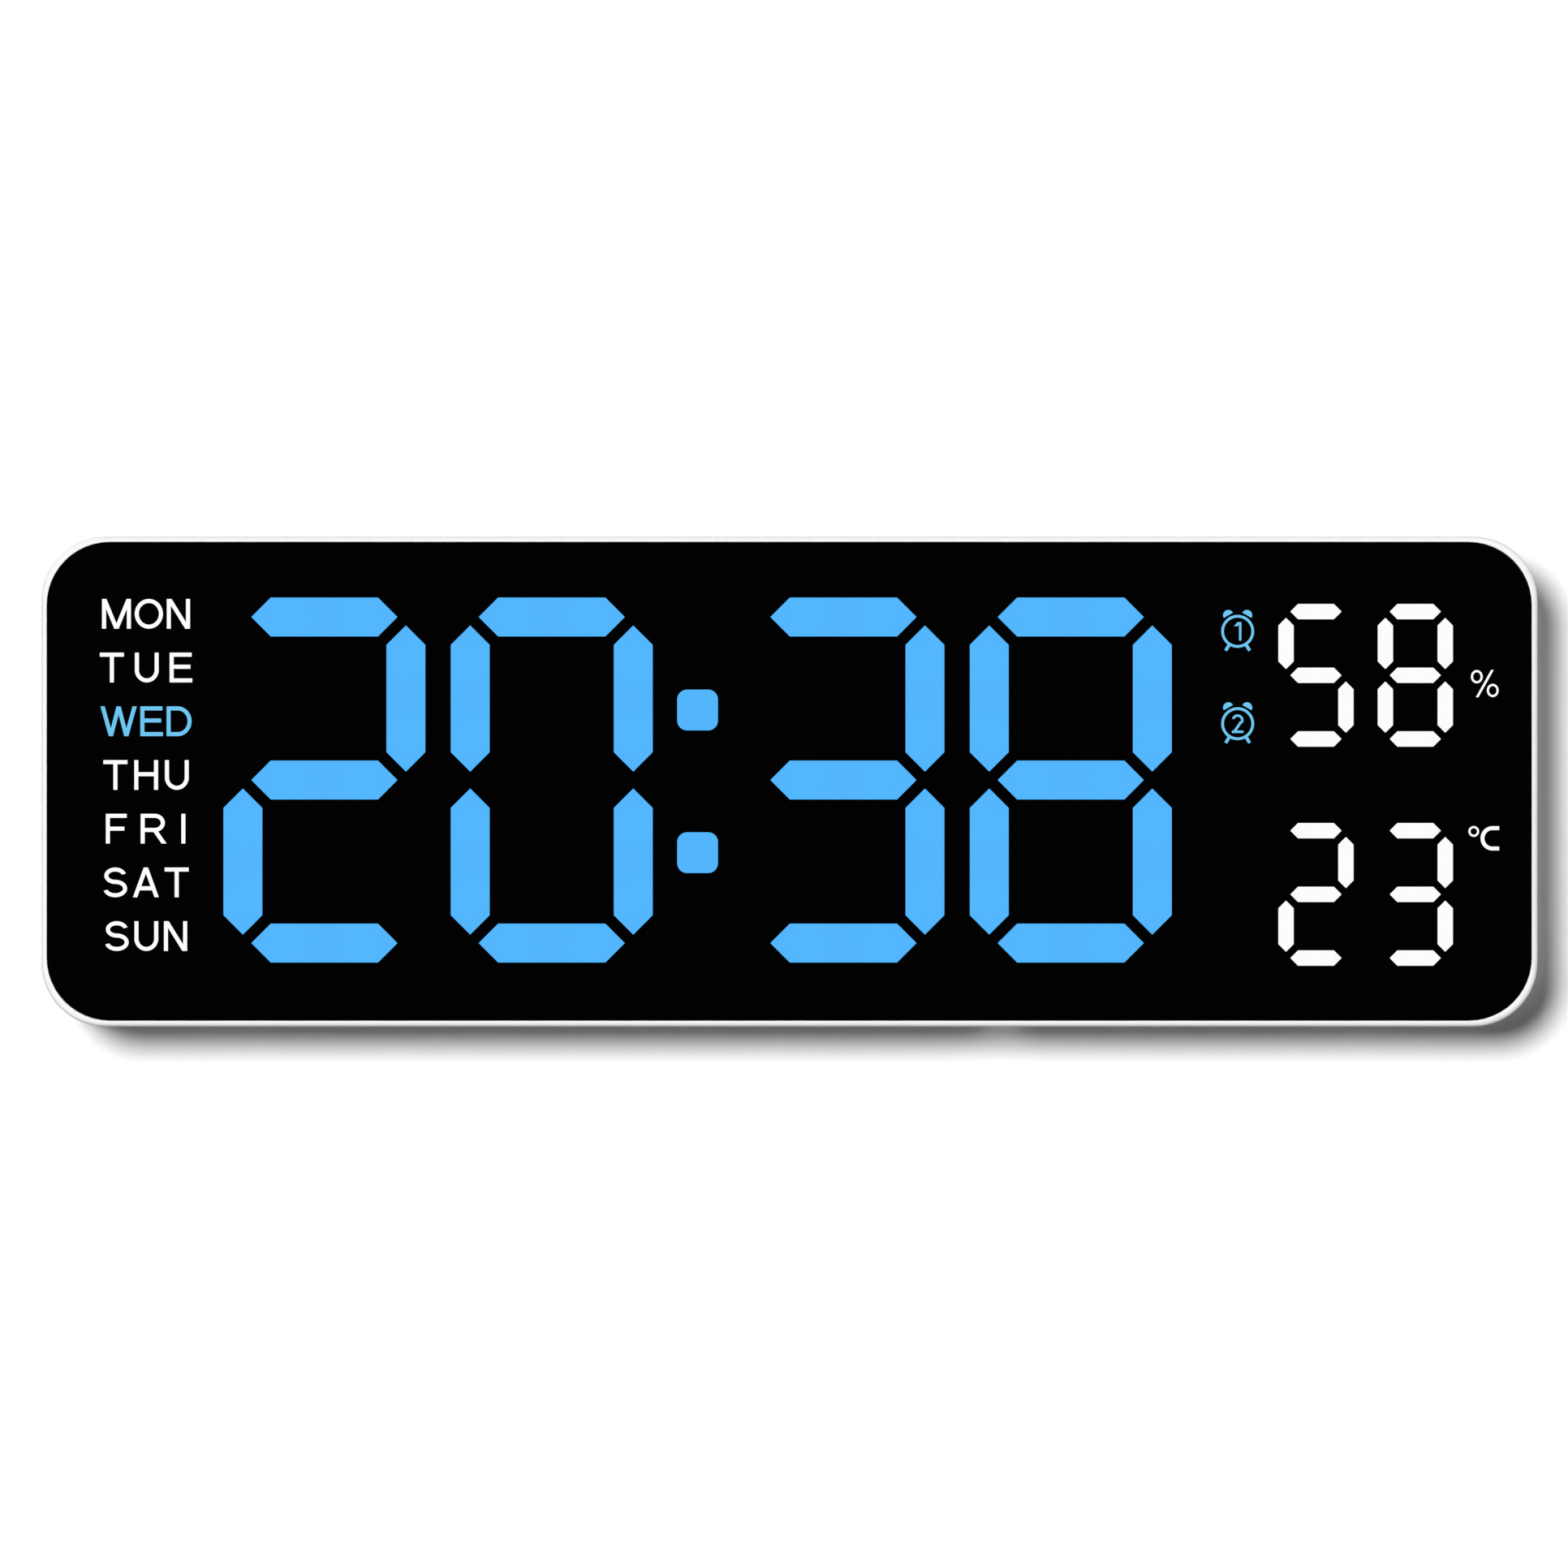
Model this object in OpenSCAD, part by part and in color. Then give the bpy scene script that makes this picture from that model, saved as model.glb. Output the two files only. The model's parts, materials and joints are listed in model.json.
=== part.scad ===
// Digital wall clock with a black face, seven-segment digits and a white casing.
// Every module below is drawn face up: x to the right, y up the face, z from the wall (0) to the face.
// hang() stands the finished piece upright, so that the face looks along -Y and +Z is up.

/* [Casing] */
// Overall width
clock_w = 235; // [231:1:260]
// Overall height
clock_h = 77; // [70:1:90]
// Overall depth, from the wall to the face
clock_d = 27; // [26:0.5:34]
// Corner radius seen from the front
corner_r = 10.1; // [9:0.1:13]
// Width of the white rim round the face
rim_w = 0.9; // [0.8:0.1:1.4]
// Extra radius of the corners inside the rim, which makes the rim wider there
core_extra_r = 0.7; // [0:0.1:1]
// Wall thickness of the casing and of the rear cover
wall = 2; // [1.8:0.1:2.4]
// Rounding of the front edge
front_edge_r = 0.8; // [0.3:0.1:0.9]
// Rounding of the rear edge
rear_edge_r = 1.4; // [0.8:0.1:1.6]
// Width of the ledge that carries the face
ledge_w = 2.4; // [1.8:0.1:2.6]
// Thickness of that ledge
ledge_t = 1.6; // [1.2:0.1:2]

/* [Rear cover] */
// Depth of the rear cover, from the wall to the parting line
cover_d = 11; // [10.5:0.1:12]
// Thickness of the cover's back plate
cover_t = 2.4; // [2.2:0.1:2.8]
// Open shadow line between casing and cover
part_gap = 0.3; // [0.2:0.1:0.5]
// Reach of the cover's lip into the casing
lip_h = 2; // [1:0.1:2.4]
// Thickness of the lip
lip_t = 1.2; // [1:0.1:1.6]
// Free space between lip and casing
lip_gap = 0.15; // [0.1:0.05:0.3]
// Thickness of the inner pocket walls
pocket_t = 1.6; // [1.2:0.1:1.8]

/* [Face] */
// Thickness of the black face panel
panel_t = 2; // [1.5:0.1:2.5]
// Free space between panel and rim
panel_gap = 0.1; // [0.05:0.05:0.2]
// Thickness of the tape under the panel
tape_t = 0.3; // [0.2:0.05:0.5]
// Thickness of the flange behind each light bar
flange_t = 1; // [0.8:0.1:1.2]
// Overhang of that flange
flange_w = 0.3; // [0.2:0.05:0.4]
// Free space round each light bar in its window
window_gap = 0.05; // [0.02:0.01:0.08]
// Depth of the reflector block
reflector_d = 7; // [6:0.5:8]
// Free space between reflector and ledge
reflector_gap = 0.4; // [0.3:0.1:0.6]
// Least wall of the reflector above and below the digits
reflector_wall = 1.5; // [1:0.1:1.8]
// Thickness of both circuit boards
board_t = 1.6; // [1.2:0.2:1.8]
// Free space round the display board
board_gap = 0.4; // [0.3:0.1:0.8]

/* [Time digits] */
// Hours shown
shown_hours = 20; // [0:1:23]
// Minutes shown
shown_minutes = 38; // [0:1:59]
// Width of a light bar
time_bar_t = 6; // [5:0.1:6.6]
// Distance of a bar's tip from the corner where the bars of a digit meet
time_tip = 1.4; // [1.2:0.05:2.3]
// Free space between the weekdays and the time
time_left = 4; // [1.4:0.1:6]
// Free space between the time and the alarm icons
time_right = 6.7; // [2:0.1:8]
// Free space above and below the time
time_edge = 8.9; // [8.6:0.1:9.2]
// Upward shift of the time from the middle of the face
time_rise = 0.2; // [-0.4:0.1:0.4]
// Free space between the two digits of a pair
digit_gap = 4.1; // [1.5:0.1:5]
// Free space between the digits on both sides of the colon
colon_room = 14.2; // [8:0.1:16]
// Side of a colon dot
colon_size = 6.3; // [4:0.1:7]
// Corner radius of a colon dot
colon_r = 1.5; // [0.5:0.1:1.9]
// Distance between the colon dots
colon_pitch = 22.4; // [16:0.1:28]

/* [Climate digits] */
// Humidity shown, in percent
shown_percent = 58; // [10:1:99]
// Temperature shown, in degrees
shown_degrees = 23; // [0:1:50]
// Length of a small light bar
small_bar_l = 7.9; // [7.6:0.05:8.4]
// Width of a small light bar
small_bar_t = 2.3; // [2:0.1:2.7]
// Distance between the left and right small bars
small_column = 9.4; // [9.3:0.1:9.6]
// Distance between the top and middle small bars
small_row = 10; // [9.6:0.1:10.2]
// Distance between the two small digits
small_digit_pitch = 15.6; // [15:0.1:16]
// Distance of the small digits from the right end of the panel
climate_inset = 26; // [25.8:0.1:26.8]
// Free space above the humidity digits
humidity_edge = 9.7; // [8.6:0.1:12]
// Free space below the temperature digits
temperature_edge = 8.6; // [8.4:0.1:12]

/* [Labels] */
// Width of a weekday window
weekday_w = 16.4; // [14.8:0.1:17]
// Height of a weekday window
weekday_h = 6.2; // [5:0.1:7]
// Free space above and below the weekdays
weekday_edge = 9.1; // [8.6:0.1:10.4]
// Distance of the weekdays from the left end of the panel
weekday_inset = 15.5; // [14.6:0.1:16.2]
// Upward shift of the weekdays from the middle of the face
weekday_rise = 1; // [0:0.1:1.2]
// Width of an alarm icon window
alarm_w = 7.4; // [6:0.1:8]
// Height of an alarm icon window
alarm_h = 8.2; // [7:0.1:9]
// Distance of the alarm icons from the middle of the small digits
alarm_gap = 20.1; // [19.8:0.1:21]
// Distance between the two alarm icons
alarm_pitch = 14.5; // [11:0.1:16]
// Width and height of a unit sign window
unit_size = 5.8; // [5:0.1:6]
// Distance of the unit signs from the right end of the panel
unit_inset = 7.5; // [7.4:0.1:7.8]
// Drop of the percent sign from the middle of the humidity digits
percent_drop = 1.3; // [-4:0.1:7]
// Rise of the degree sign from the middle of the temperature digits
degree_rise = 8.8; // [-2:0.1:17]

/* [Boards] */
// Width of the control board
control_w = 116; // [112:1:118]
// Height of the control board above the button row
control_top = 8; // [7:0.5:8.5]
// Length of the two-row board connector
connector_l = 14; // [12:0.5:18]
// Width of the board connector
connector_w = 5; // [4.5:0.1:6]
// Pins in each row of the connector
connector_pins = 5; // [3:1:6]
// Diameter of the buzzer
buzzer_d = 12; // [9:0.5:14]
// Height of the buzzer
buzzer_h = 5.6; // [3:0.1:5.8]
// Width of the temperature and humidity sensor
sensor_w = 12; // [8:0.5:14]
// Height of that sensor on its board
sensor_h = 9; // [6:0.5:10]

/* [Buttons] */
// Width of a button
button_w = 12; // [9:0.5:13]
// Height of a button
button_h = 6; // [5:0.5:8]
// Corner radius of a button
button_r = 2.4; // [1:0.1:2.4]
// Distance between buttons
button_pitch = 18; // [16.5:0.5:20]
// Distance of the button row from the top edge
button_drop = 18.5; // [17:0.5:19]
// Free space round a button
button_gap = 0.3; // [0.3:0.05:0.5]
// Depth of the button heads below the back plane
button_sink = 0.3; // [0.2:0.1:0.6]
// Depth of the recess round the buttons
strip_d = 1; // [0.6:0.1:1.2]
// Overhang of the flange that keeps a button in
button_flange_w = 0.8; // [0.6:0.1:1.2]
// Thickness of that flange
button_flange_t = 0.95; // [0.8:0.05:1.2]
// Side of a push switch
switch_size = 6; // [5:0.5:6.5]
// Height of a push switch
switch_h = 3.5; // [3.2:0.1:4]
// Radius of a switch plunger
plunger_r = 1.7; // [1.2:0.1:2]
// Length of a plunger outside its switch
plunger_out = 1.6; // [1.2:0.1:1.8]

/* [Power] */
// Sideways place of the power inlet
usb_x = 34; // [32:0.5:38]
// Width of the plug pocket
usb_pocket_w = 18; // [14:0.5:20]
// Height of the plug pocket above the bottom edge
usb_pocket_h = 29; // [26:0.5:30]
// Depth of the plug pocket
usb_pocket_d = 11; // [10.2:0.1:11.6]
// Width of the cable notch
cable_w = 6; // [4.5:0.5:8]
// Diameter of the coin cell
cell_d = 20; // [16:0.5:20]
// Thickness of the coin cell
cell_h = 3.2; // [2:0.1:3.2]
// Sideways place of the coin cell
cell_x = -34; // [-38:0.5:-33]
// Height of the coin cell above the middle
cell_y = -6; // [-8:0.5:-5]
// Turn that frees the battery cap, in degrees
cap_turn = 45; // [40:1:60]

/* [Hanging and standing] */
// Distance between the two keyholes
keyhole_pitch = 140; // [138:1:142]
// Diameter of the keyhole for the screw head
keyhole_head_d = 9; // [8:0.5:10]
// Width of the keyhole slot for the screw shank
keyhole_slot_w = 5; // [4.5:0.1:5.5]
// Rise from the head hole to the end of the slot
keyhole_rise = 8; // [7:0.5:9]
// Distance of the head holes from the top edge
keyhole_drop = 28.5; // [26:0.5:30]
// Width of a fold-out foot
foot_w = 15; // [12:0.5:16]
// Length of a foot from its hinge
foot_l = 40; // [30:1:44]
// Thickness of a foot
foot_t = 4; // [3.4:0.1:4.2]
// Distance between the two feet
foot_spread = 176; // [174:1:178]
// Free space round a folded foot
foot_gap = 0.3; // [0.3:0.05:0.5]
// Room for a finger at the end of a foot
finger_l = 7.5; // [6:0.5:9]
// Radius of a hinge pin
pin_r = 1; // [0.8:0.1:1.1]
// Running clearance round a hinge pin
pin_gap = 0.05; // [0.03:0.01:0.08]

/* [Screws] */
// Radius of a screw post in the casing
boss_r = 2.5; // [2.2:0.1:2.6]
// Distance of the outer case screws from the ends
case_screw_inset = 13.5; // [13:0.5:14]
// Radius of a case screw head
case_head_r = 2.2; // [1.9:0.1:2.2]
// Height of every screw head
head_h = 1.6; // [1.2:0.1:1.8]
// Radius of a case screw shank
case_shank_r = 1.05; // [0.9:0.05:1.1]
// Length of a case screw shank
case_shank_l = 9; // [7:0.5:10]
// Depth of the case screw seats below the back
case_seat = 7; // [5:0.5:7.5]
// Distance between the display board screws
board_screw_pitch = 140; // [120:1:150]
// Radius of a board screw shank
board_shank_r = 0.95; // [0.8:0.05:1]
// Radius of a board screw head
board_head_r = 1.9; // [1.6:0.1:2]
// Free space round every screw
screw_gap = 0.05; // [0.04:0.01:0.08]

/* [Hidden] */
$fn = 64;
eps = 0.01;
cut_over = 1;
white_plastic = "#F1F2F2";
black_plastic = "#0A0A0B";
dark_lens = "#101114";
blue_light = "#50B6FE";
white_light = "#FAFAFC";
board_green = "#1F5B38";
bright_metal = "#C9CBCE";
dark_metal = "#3A3B3D";
chip_black = "#1B1B1D";
soft_grey = "#D9DBDC";

// Levels, from the face back to the wall
z_panel = clock_d - panel_t;
z_ledge = z_panel - tape_t;
z_ledge_back = z_ledge - ledge_t;
z_reflector = z_panel - flange_t;
z_board = z_reflector - reflector_d;
z_board_back = z_board - board_t;
z_part = cover_d - part_gap;
stop_gap = 0.05;
z_button_stop = cover_t + stop_gap;
z_button_end = z_button_stop + button_flange_t;
z_control = z_button_end + plunger_out + switch_h;
z_control_front = z_control + board_t;

// Outlines of the casing
core_r = corner_r + core_extra_r;
inner_w = clock_w - 2 * wall;
inner_h = clock_h - 2 * wall;
inner_r = core_r - wall;
recess_w = clock_w - 2 * rim_w;
recess_h = clock_h - 2 * rim_w;
recess_r = core_r - rim_w;
opening_w = inner_w - 2 * ledge_w;
opening_h = inner_h - 2 * ledge_w;
opening_r = inner_r - ledge_w;
panel_w = recess_w - 2 * panel_gap;
panel_h = recess_h - 2 * panel_gap;
panel_r = recess_r - panel_gap;
tape_in = 0.2;
reflector_w = opening_w - 2 * reflector_gap;
reflector_h = panel_h - 2 * (time_edge - abs(time_rise) - reflector_wall);
reflector_r = opening_r - reflector_gap;
board_w = inner_w - 2 * board_gap;
board_h = inner_h - 2 * board_gap;
board_r = inner_r - board_gap;

// Places on the face
weekday_x = weekday_inset - panel_w / 2;
climate_x = panel_w / 2 - climate_inset;
alarm_x = climate_x - alarm_gap;
unit_x = panel_w / 2 - unit_inset;
weekday_rows = 7;
weekday_pitch = (panel_h - 2 * weekday_edge - weekday_h) / (weekday_rows - 1);
small_half = small_row + small_bar_t / 2;
humidity_y = panel_h / 2 - humidity_edge - small_half;
temperature_y = small_half + temperature_edge - panel_h / 2;
percent_y = humidity_y - percent_drop;
degree_y = temperature_y + degree_rise;
label_well_in = 0.8;

// The time fills the space between the weekdays and the alarm icons
time_start = weekday_x + weekday_w / 2 + time_left;
time_end = alarm_x - alarm_w / 2 - time_right;
time_x = (time_start + time_end) / 2;
time_digit_w = (time_end - time_start - colon_room) / 4 - digit_gap / 2;
time_digit_h = panel_h - 2 * time_edge;
time_column = time_digit_w - time_bar_t;
time_row = (time_digit_h - time_bar_t) / 2;
time_digit_pitch = time_digit_w + digit_gap;
time_pair_pitch = time_digit_w + colon_room;
time_places = [for (side = [-1, 1], step = [0, 1])
    side * (time_pair_pitch / 2 + (side < 0 ? 1 - step : step) * time_digit_pitch)];

// Which of the seven bars each figure lights: top, right pair, bottom, left pair, middle
figures = [
    [1, 1, 1, 1, 1, 1, 0], [0, 1, 1, 0, 0, 0, 0], [1, 1, 0, 1, 1, 0, 1], [1, 1, 1, 1, 0, 0, 1],
    [0, 1, 1, 0, 0, 1, 1], [1, 0, 1, 1, 0, 1, 1], [1, 0, 1, 1, 1, 1, 1], [1, 1, 1, 0, 0, 0, 0],
    [1, 1, 1, 1, 1, 1, 1], [1, 1, 1, 1, 0, 1, 1]];
function two_figures(value) = [floor(value / 10), value % 10];
time_figures = concat(two_figures(shown_hours), two_figures(shown_minutes));
humidity_figures = two_figures(shown_percent);
temperature_figures = two_figures(shown_degrees);
lit = 1;
dark = 0;
bars = [0 : 6];
function bar_lies(bar) = bar == 0 || bar == 3 || bar == 6;
function bar_place(bar, column, row) =
    bar_lies(bar) ? [0, bar == 0 ? row : bar == 3 ? -row : 0]
    : [bar < 3 ? column / 2 : -column / 2, bar == 1 || bar == 5 ? row / 2 : -row / 2];
function time_bar_l(bar) = (bar_lies(bar) ? time_column : time_row) - 2 * time_tip;

// Screws
boss_sink = 0.3;
boss_y = clock_h / 2 - wall - boss_r + boss_sink;
case_pilot_r = case_shank_r + screw_gap;
case_clear = 0.25;
case_clear_r = case_shank_r + case_clear;
case_recess_r = case_head_r + case_clear;
case_post_wall = 1;
case_post_r = case_recess_r + case_post_wall;
pilot_room = 1;
case_columns = [-clock_w / 2 + case_screw_inset, 0, clock_w / 2 - case_screw_inset];
board_pilot_r = board_shank_r + screw_gap;
board_clear = 0.35;
board_clear_r = board_shank_r + board_clear;
board_shank_l = 5.5;
drive_w = 0.55;
drive_span = 1.1;
drive_depth = 0.8;

// Buttons and control board
button_y = clock_h / 2 - button_drop;
button_columns = [for (step = [-1.5 : 1 : 1.5]) step * button_pitch];
strip_margin = 3;
strip_w = 3 * button_pitch + button_w + 2 * strip_margin;
strip_h = button_h + 2 * strip_margin;
strip_r = button_r + strip_margin;
plunger_in = 0.9;
plunger_room = 0.7;
plunger_gap = 0.05;
control_margin = 4;
control_foot = 6;
control_low = cell_y - cell_d / 2 - control_foot;
control_high = button_y + control_top;
control_r = 1.5;
control_boss_r = 2.5;
control_clear = 0.4;
control_step_x = usb_x - usb_pocket_w / 2 - pocket_t - control_clear;
usb_top = usb_pocket_h - clock_h / 2;
control_step_y = usb_top + pocket_t + control_clear;
control_posts = [
    [-control_w / 2 + control_margin, control_high - control_margin],
    [control_w / 2 - control_margin, control_high - control_margin],
    [-control_w / 2 + control_margin, control_low + control_margin],
    [control_step_x - control_margin, control_low + control_margin]];
connector_y = 7;
connector_pitch = 2;
connector_pin = 0.6;
connector_gap = 0.05;
header_h = 2;
buzzer_y = -8;
buzzer_hole_r = 1;
sound_hole_r = 0.8;
sound_ring_r = 3;
sensor_aside = 12;
sensor_x = usb_x + sensor_aside;
sensor_y = 5;
sensor_t = 5;
vent_count = 5;
vent_w = 1.6;
vent_pitch = 3;

// Parts on the boards, each as width, height and thickness
led_size = [3.5, 2.8, 1.9];
small_led_size = [2, 1.25, 0.8];
controller_place = [-34, 16];
controller_size = [17.9, 7.5, 2.3];
controller_legs = 14;
driver_place = [62, -20];
driver_size = [15.4, 7.5, 2.1];
driver_legs = 12;
crystal_place = [-50, 16];
crystal_r = 1.1;
crystal_l = 6;
can_place = [66, -4];
can_r = 3.15;
can_h = 5.4;
can_base = 6.6;
can_base_t = 0.8;
leg_size = [0.4, 1.2, 0.3];

// Power inlet
usb_w = 8.94;
usb_t = 3.26;
usb_l = 7.35;
usb_shell_t = 0.3;
usb_r = 1.4;
usb_back = 0.2;
usb_slot_gap = 0.3;
usb_mid = z_control - usb_t / 2;
tongue_w = 6.69;
tongue_t = 0.7;
tongue_l = 5;
cable_d = 9;

// Coin cell and battery cap
contact_t = 0.7;
contact_r = cell_d / 4;
clip_t = 0.4;
clip_gap = 0.05;
clip_angle = 230;
z_cell = z_control - contact_t;
cap_margin = 2.3;
cap_gap = 0.2;
cap_r = cell_d / 2 + cap_margin;
cap_bore_r = cap_r + cap_gap;
cap_sink = 0.3;
cap_plate_t = 2;
cap_skirt_t = 1.4;
lug_reach = 0.9;
lug_t = 1.2;
lug_angle = 24;
lug_play = 3;
lug_gap = 0.1;
lug_cover = 0.6;
z_lug = cover_t + lug_cover;
collar_wall = 1.6;
collar_r = cap_bore_r + lug_reach + lug_gap + collar_wall;
z_collar = z_lug + lug_t + collar_wall;
coin_slot = [16, 2, 1.2];

// Keyholes
keyhole_y = clock_h / 2 - keyhole_drop;
hood_side = 1;
hood_w = keyhole_head_d + 2 * hood_side;
hood_h = keyhole_head_d + keyhole_rise + 2 * hood_side;
hood_d = 4.6;

// Feet
barrel_over = 0.1;
barrel_r = foot_t / 2 + barrel_over;
foot_sink = 0.3;
z_hinge = foot_sink + barrel_r;
hinge_y = barrel_r - clock_h / 2;
foot_end = hinge_y + foot_l;
foot_room_w = foot_w + 2 * foot_gap;
foot_room_d = z_hinge + barrel_r + foot_gap;
foot_room_end = foot_end + finger_l;
foot_ear = 2;
pin_reach = 1.2;
grip_count = 4;
grip_pitch = 2;
grip_w = 0.9;
grip_depth = 0.5;
grip_inset = 3;

// Stands a piece drawn face up on its lower edge
module hang() {
    rotate([90, 0, 0]) children();
}

// Flat shape drawn out between two levels
module layer(low, high) {
    translate([0, 0, low]) linear_extrude(high - low) children();
}

module quarter(r) {
    intersection() {
        circle(r);
        square(r);
    }
}

// The four corner places of a rectangle, each child turned to face outwards
module at_corners(w, h) {
    for (turn = [0 : 3])
        translate([(turn == 0 || turn == 3 ? 1 : -1) * w / 2, (turn < 2 ? 1 : -1) * h / 2])
            rotate(90 * turn) children();
}

module rounded_rect(w, h, r) {
    square([w - 2 * r, h], center = true);
    square([w, h - 2 * r], center = true);
    at_corners(w - 2 * r, h - 2 * r) quarter(r);
}

// Section through a slab's edge, rounded at the top outside
module edge_section(r, d, edge_r) {
    square([r - edge_r, d]);
    square([r, d - edge_r]);
    translate([r - edge_r, d - edge_r]) quarter(edge_r);
}

// Slab with rounded corners and a rounded upper edge
module soft_slab(w, h, r, d, edge_r) {
    run_w = w - 2 * r;
    run_h = h - 2 * r;
    translate([-run_w / 2, -run_h / 2, 0]) cube([run_w, run_h, d]);
    at_corners(run_w, run_h) rotate_extrude(angle = 90) edge_section(r, d, edge_r);
    for (turn = [0, 180]) rotate(turn) {
        translate([-run_w / 2, run_h / 2, 0])
            rotate([90, 0, 90]) linear_extrude(run_w) edge_section(r, d, edge_r);
        rotate(90) translate([-run_h / 2, run_w / 2, 0])
            rotate([90, 0, 90]) linear_extrude(run_h) edge_section(r, d, edge_r);
    }
}

// Six-sided bar with right-angled tips, grown on every side
module bar_outline(l, t, grow = 0) {
    half_t = t / 2 + grow;
    tip = l / 2 + grow * sqrt(2);
    polygon([[tip, 0], [tip - half_t, half_t], [half_t - tip, half_t], [-tip, 0], [half_t - tip, -half_t],
        [tip - half_t, -half_t]]);
}

module at_bar(bar, column, row) {
    translate(bar_place(bar, column, row)) rotate(bar_lies(bar) ? 0 : 90) children();
}

module at_time_digits(places = time_places) {
    for (place = places) translate([time_x + place, time_rise]) children();
}

module at_time_bars() {
    at_time_digits() for (bar = bars) at_bar(bar, time_column, time_row) {
        $bar_l = time_bar_l(bar);
        children();
    }
}

module at_colon() {
    for (side = [-1, 1]) translate([time_x, side * colon_pitch / 2]) children();
}

module at_small_digit(step, level) {
    translate([climate_x + (step - 0.5) * small_digit_pitch, level]) children();
}

module at_small_bars() {
    for (level = [humidity_y, temperature_y], step = [0, 1])
        at_small_digit(step, level) for (bar = bars) at_bar(bar, small_column, small_row) children();
}

module at_weekdays() {
    for (row = [0 : weekday_rows - 1])
        translate([weekday_x, weekday_rise + (row - (weekday_rows - 1) / 2) * weekday_pitch]) children();
}

module at_alarms() {
    for (side = [-1, 1])
        translate([alarm_x, humidity_y + side * alarm_pitch / 2]) children();
}

module at_units() {
    for (level = [percent_y, degree_y]) translate([unit_x, level]) children();
}

// Outlines of everything that shines through the face, grown on every side
module face_outlines(grow, label_grow) {
    at_time_bars() bar_outline($bar_l, time_bar_t, grow);
    at_small_bars() bar_outline(small_bar_l, small_bar_t, grow);
    at_colon() rounded_rect(colon_size + 2 * grow, colon_size + 2 * grow, colon_r + grow);
    at_weekdays() square([weekday_w + 2 * label_grow, weekday_h + 2 * label_grow], center = true);
    at_alarms() square([alarm_w + 2 * label_grow, alarm_h + 2 * label_grow], center = true);
    at_units() square([unit_size + 2 * label_grow, unit_size + 2 * label_grow], center = true);
}

// Light bar: a flange behind the panel and the bar itself in its window
module light_bar(l, t) {
    layer(z_reflector, z_panel) bar_outline(l, t, flange_w);
    layer(z_reflector, clock_d) bar_outline(l, t);
}

module label_window(w, h) {
    layer(z_reflector, z_panel) square([w + 2 * flange_w, h + 2 * flange_w], center = true);
    layer(z_reflector, clock_d) square([w, h], center = true);
}

// The bars of one time digit that are in the given state
module time_digit(index, state) {
    at_time_digits([time_places[index]]) for (bar = bars)
        if (figures[time_figures[index]][bar] == state)
            at_bar(bar, time_column, time_row) light_bar(time_bar_l(bar), time_bar_t);
}

// The bars of two small digits that are in the given state
module small_digits(shown, level, state) {
    for (step = [0, 1]) at_small_digit(step, level) for (bar = bars)
        if (figures[shown[step]][bar] == state)
            at_bar(bar, small_column, small_row) light_bar(small_bar_l, small_bar_t);
}

module at_case_screws() {
    for (column = case_columns, side = [-1, 1]) translate([column, side * boss_y]) children();
}

module at_display_screws() {
    for (across = [-1, 1], side = [-1, 1])
        translate([across * board_screw_pitch / 2, side * boss_y]) children();
}

module at_control_posts() {
    for (post = control_posts) translate(post) children();
}

module at_buttons() {
    for (column = button_columns) translate([column, button_y]) children();
}

// Cross-slot screw with its head below and its shank upwards from the seat
module screw(head_r, shank_r, shank_l, seat) {
    color(bright_metal) difference() {
        union() {
            layer(seat - head_h, seat) circle(head_r);
            layer(seat - eps, seat + shank_l) circle(shank_r);
        }
        for (turn = [0, 90]) rotate(turn) layer(seat - head_h - eps, seat - head_h + drive_depth)
            square([head_r * drive_span, drive_w], center = true);
    }
}

module front_casing() {
    color(white_plastic) difference() {
        union() {
            difference() {
                translate([0, 0, cover_d])
                    soft_slab(clock_w, clock_h, corner_r, clock_d - cover_d, front_edge_r);
                layer(cover_d - eps, z_ledge_back) rounded_rect(inner_w, inner_h, inner_r);
                layer(z_ledge_back - eps, clock_d) rounded_rect(opening_w, opening_h, opening_r);
                layer(z_ledge, clock_d + eps) rounded_rect(recess_w, recess_h, recess_r);
            }
            at_case_screws() layer(cover_d, z_ledge) circle(boss_r);
            at_display_screws() layer(z_board, z_ledge) circle(boss_r);
        }
        at_case_screws() layer(cover_d - eps, case_seat + case_shank_l + pilot_room) circle(case_pilot_r);
        at_display_screws()
            layer(z_board - eps, z_board_back + board_shank_l + pilot_room) circle(board_pilot_r);
    }
}

module front_panel() {
    color(black_plastic) layer(z_panel, clock_d) difference() {
        rounded_rect(panel_w, panel_h, panel_r);
        face_outlines(window_gap, window_gap);
    }
}

module panel_tape() {
    color(dark_metal) layer(z_ledge, z_panel) difference() {
        rounded_rect(panel_w - 2 * tape_in, panel_h - 2 * tape_in, panel_r - tape_in);
        rounded_rect(opening_w, opening_h, opening_r);
    }
}

module hour_tens_bars() {
    color(blue_light) time_digit(0, lit);
}

module hour_units_bars() {
    color(blue_light) time_digit(1, lit);
}

module minute_tens_bars() {
    color(blue_light) time_digit(2, lit);
}

module minute_units_bars() {
    color(blue_light) time_digit(3, lit);
}

module colon_dots() {
    flange = colon_size + 2 * flange_w;
    color(blue_light) at_colon() {
        layer(z_reflector, z_panel) rounded_rect(flange, flange, colon_r + flange_w);
        layer(z_reflector, clock_d) rounded_rect(colon_size, colon_size, colon_r);
    }
}

module humidity_bars() {
    color(white_light) small_digits(humidity_figures, humidity_y, lit);
}

module temperature_bars() {
    color(white_light) small_digits(temperature_figures, temperature_y, lit);
}

module time_dark_bars() {
    color(dark_lens) for (index = [0 : 3]) time_digit(index, dark);
}

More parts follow.
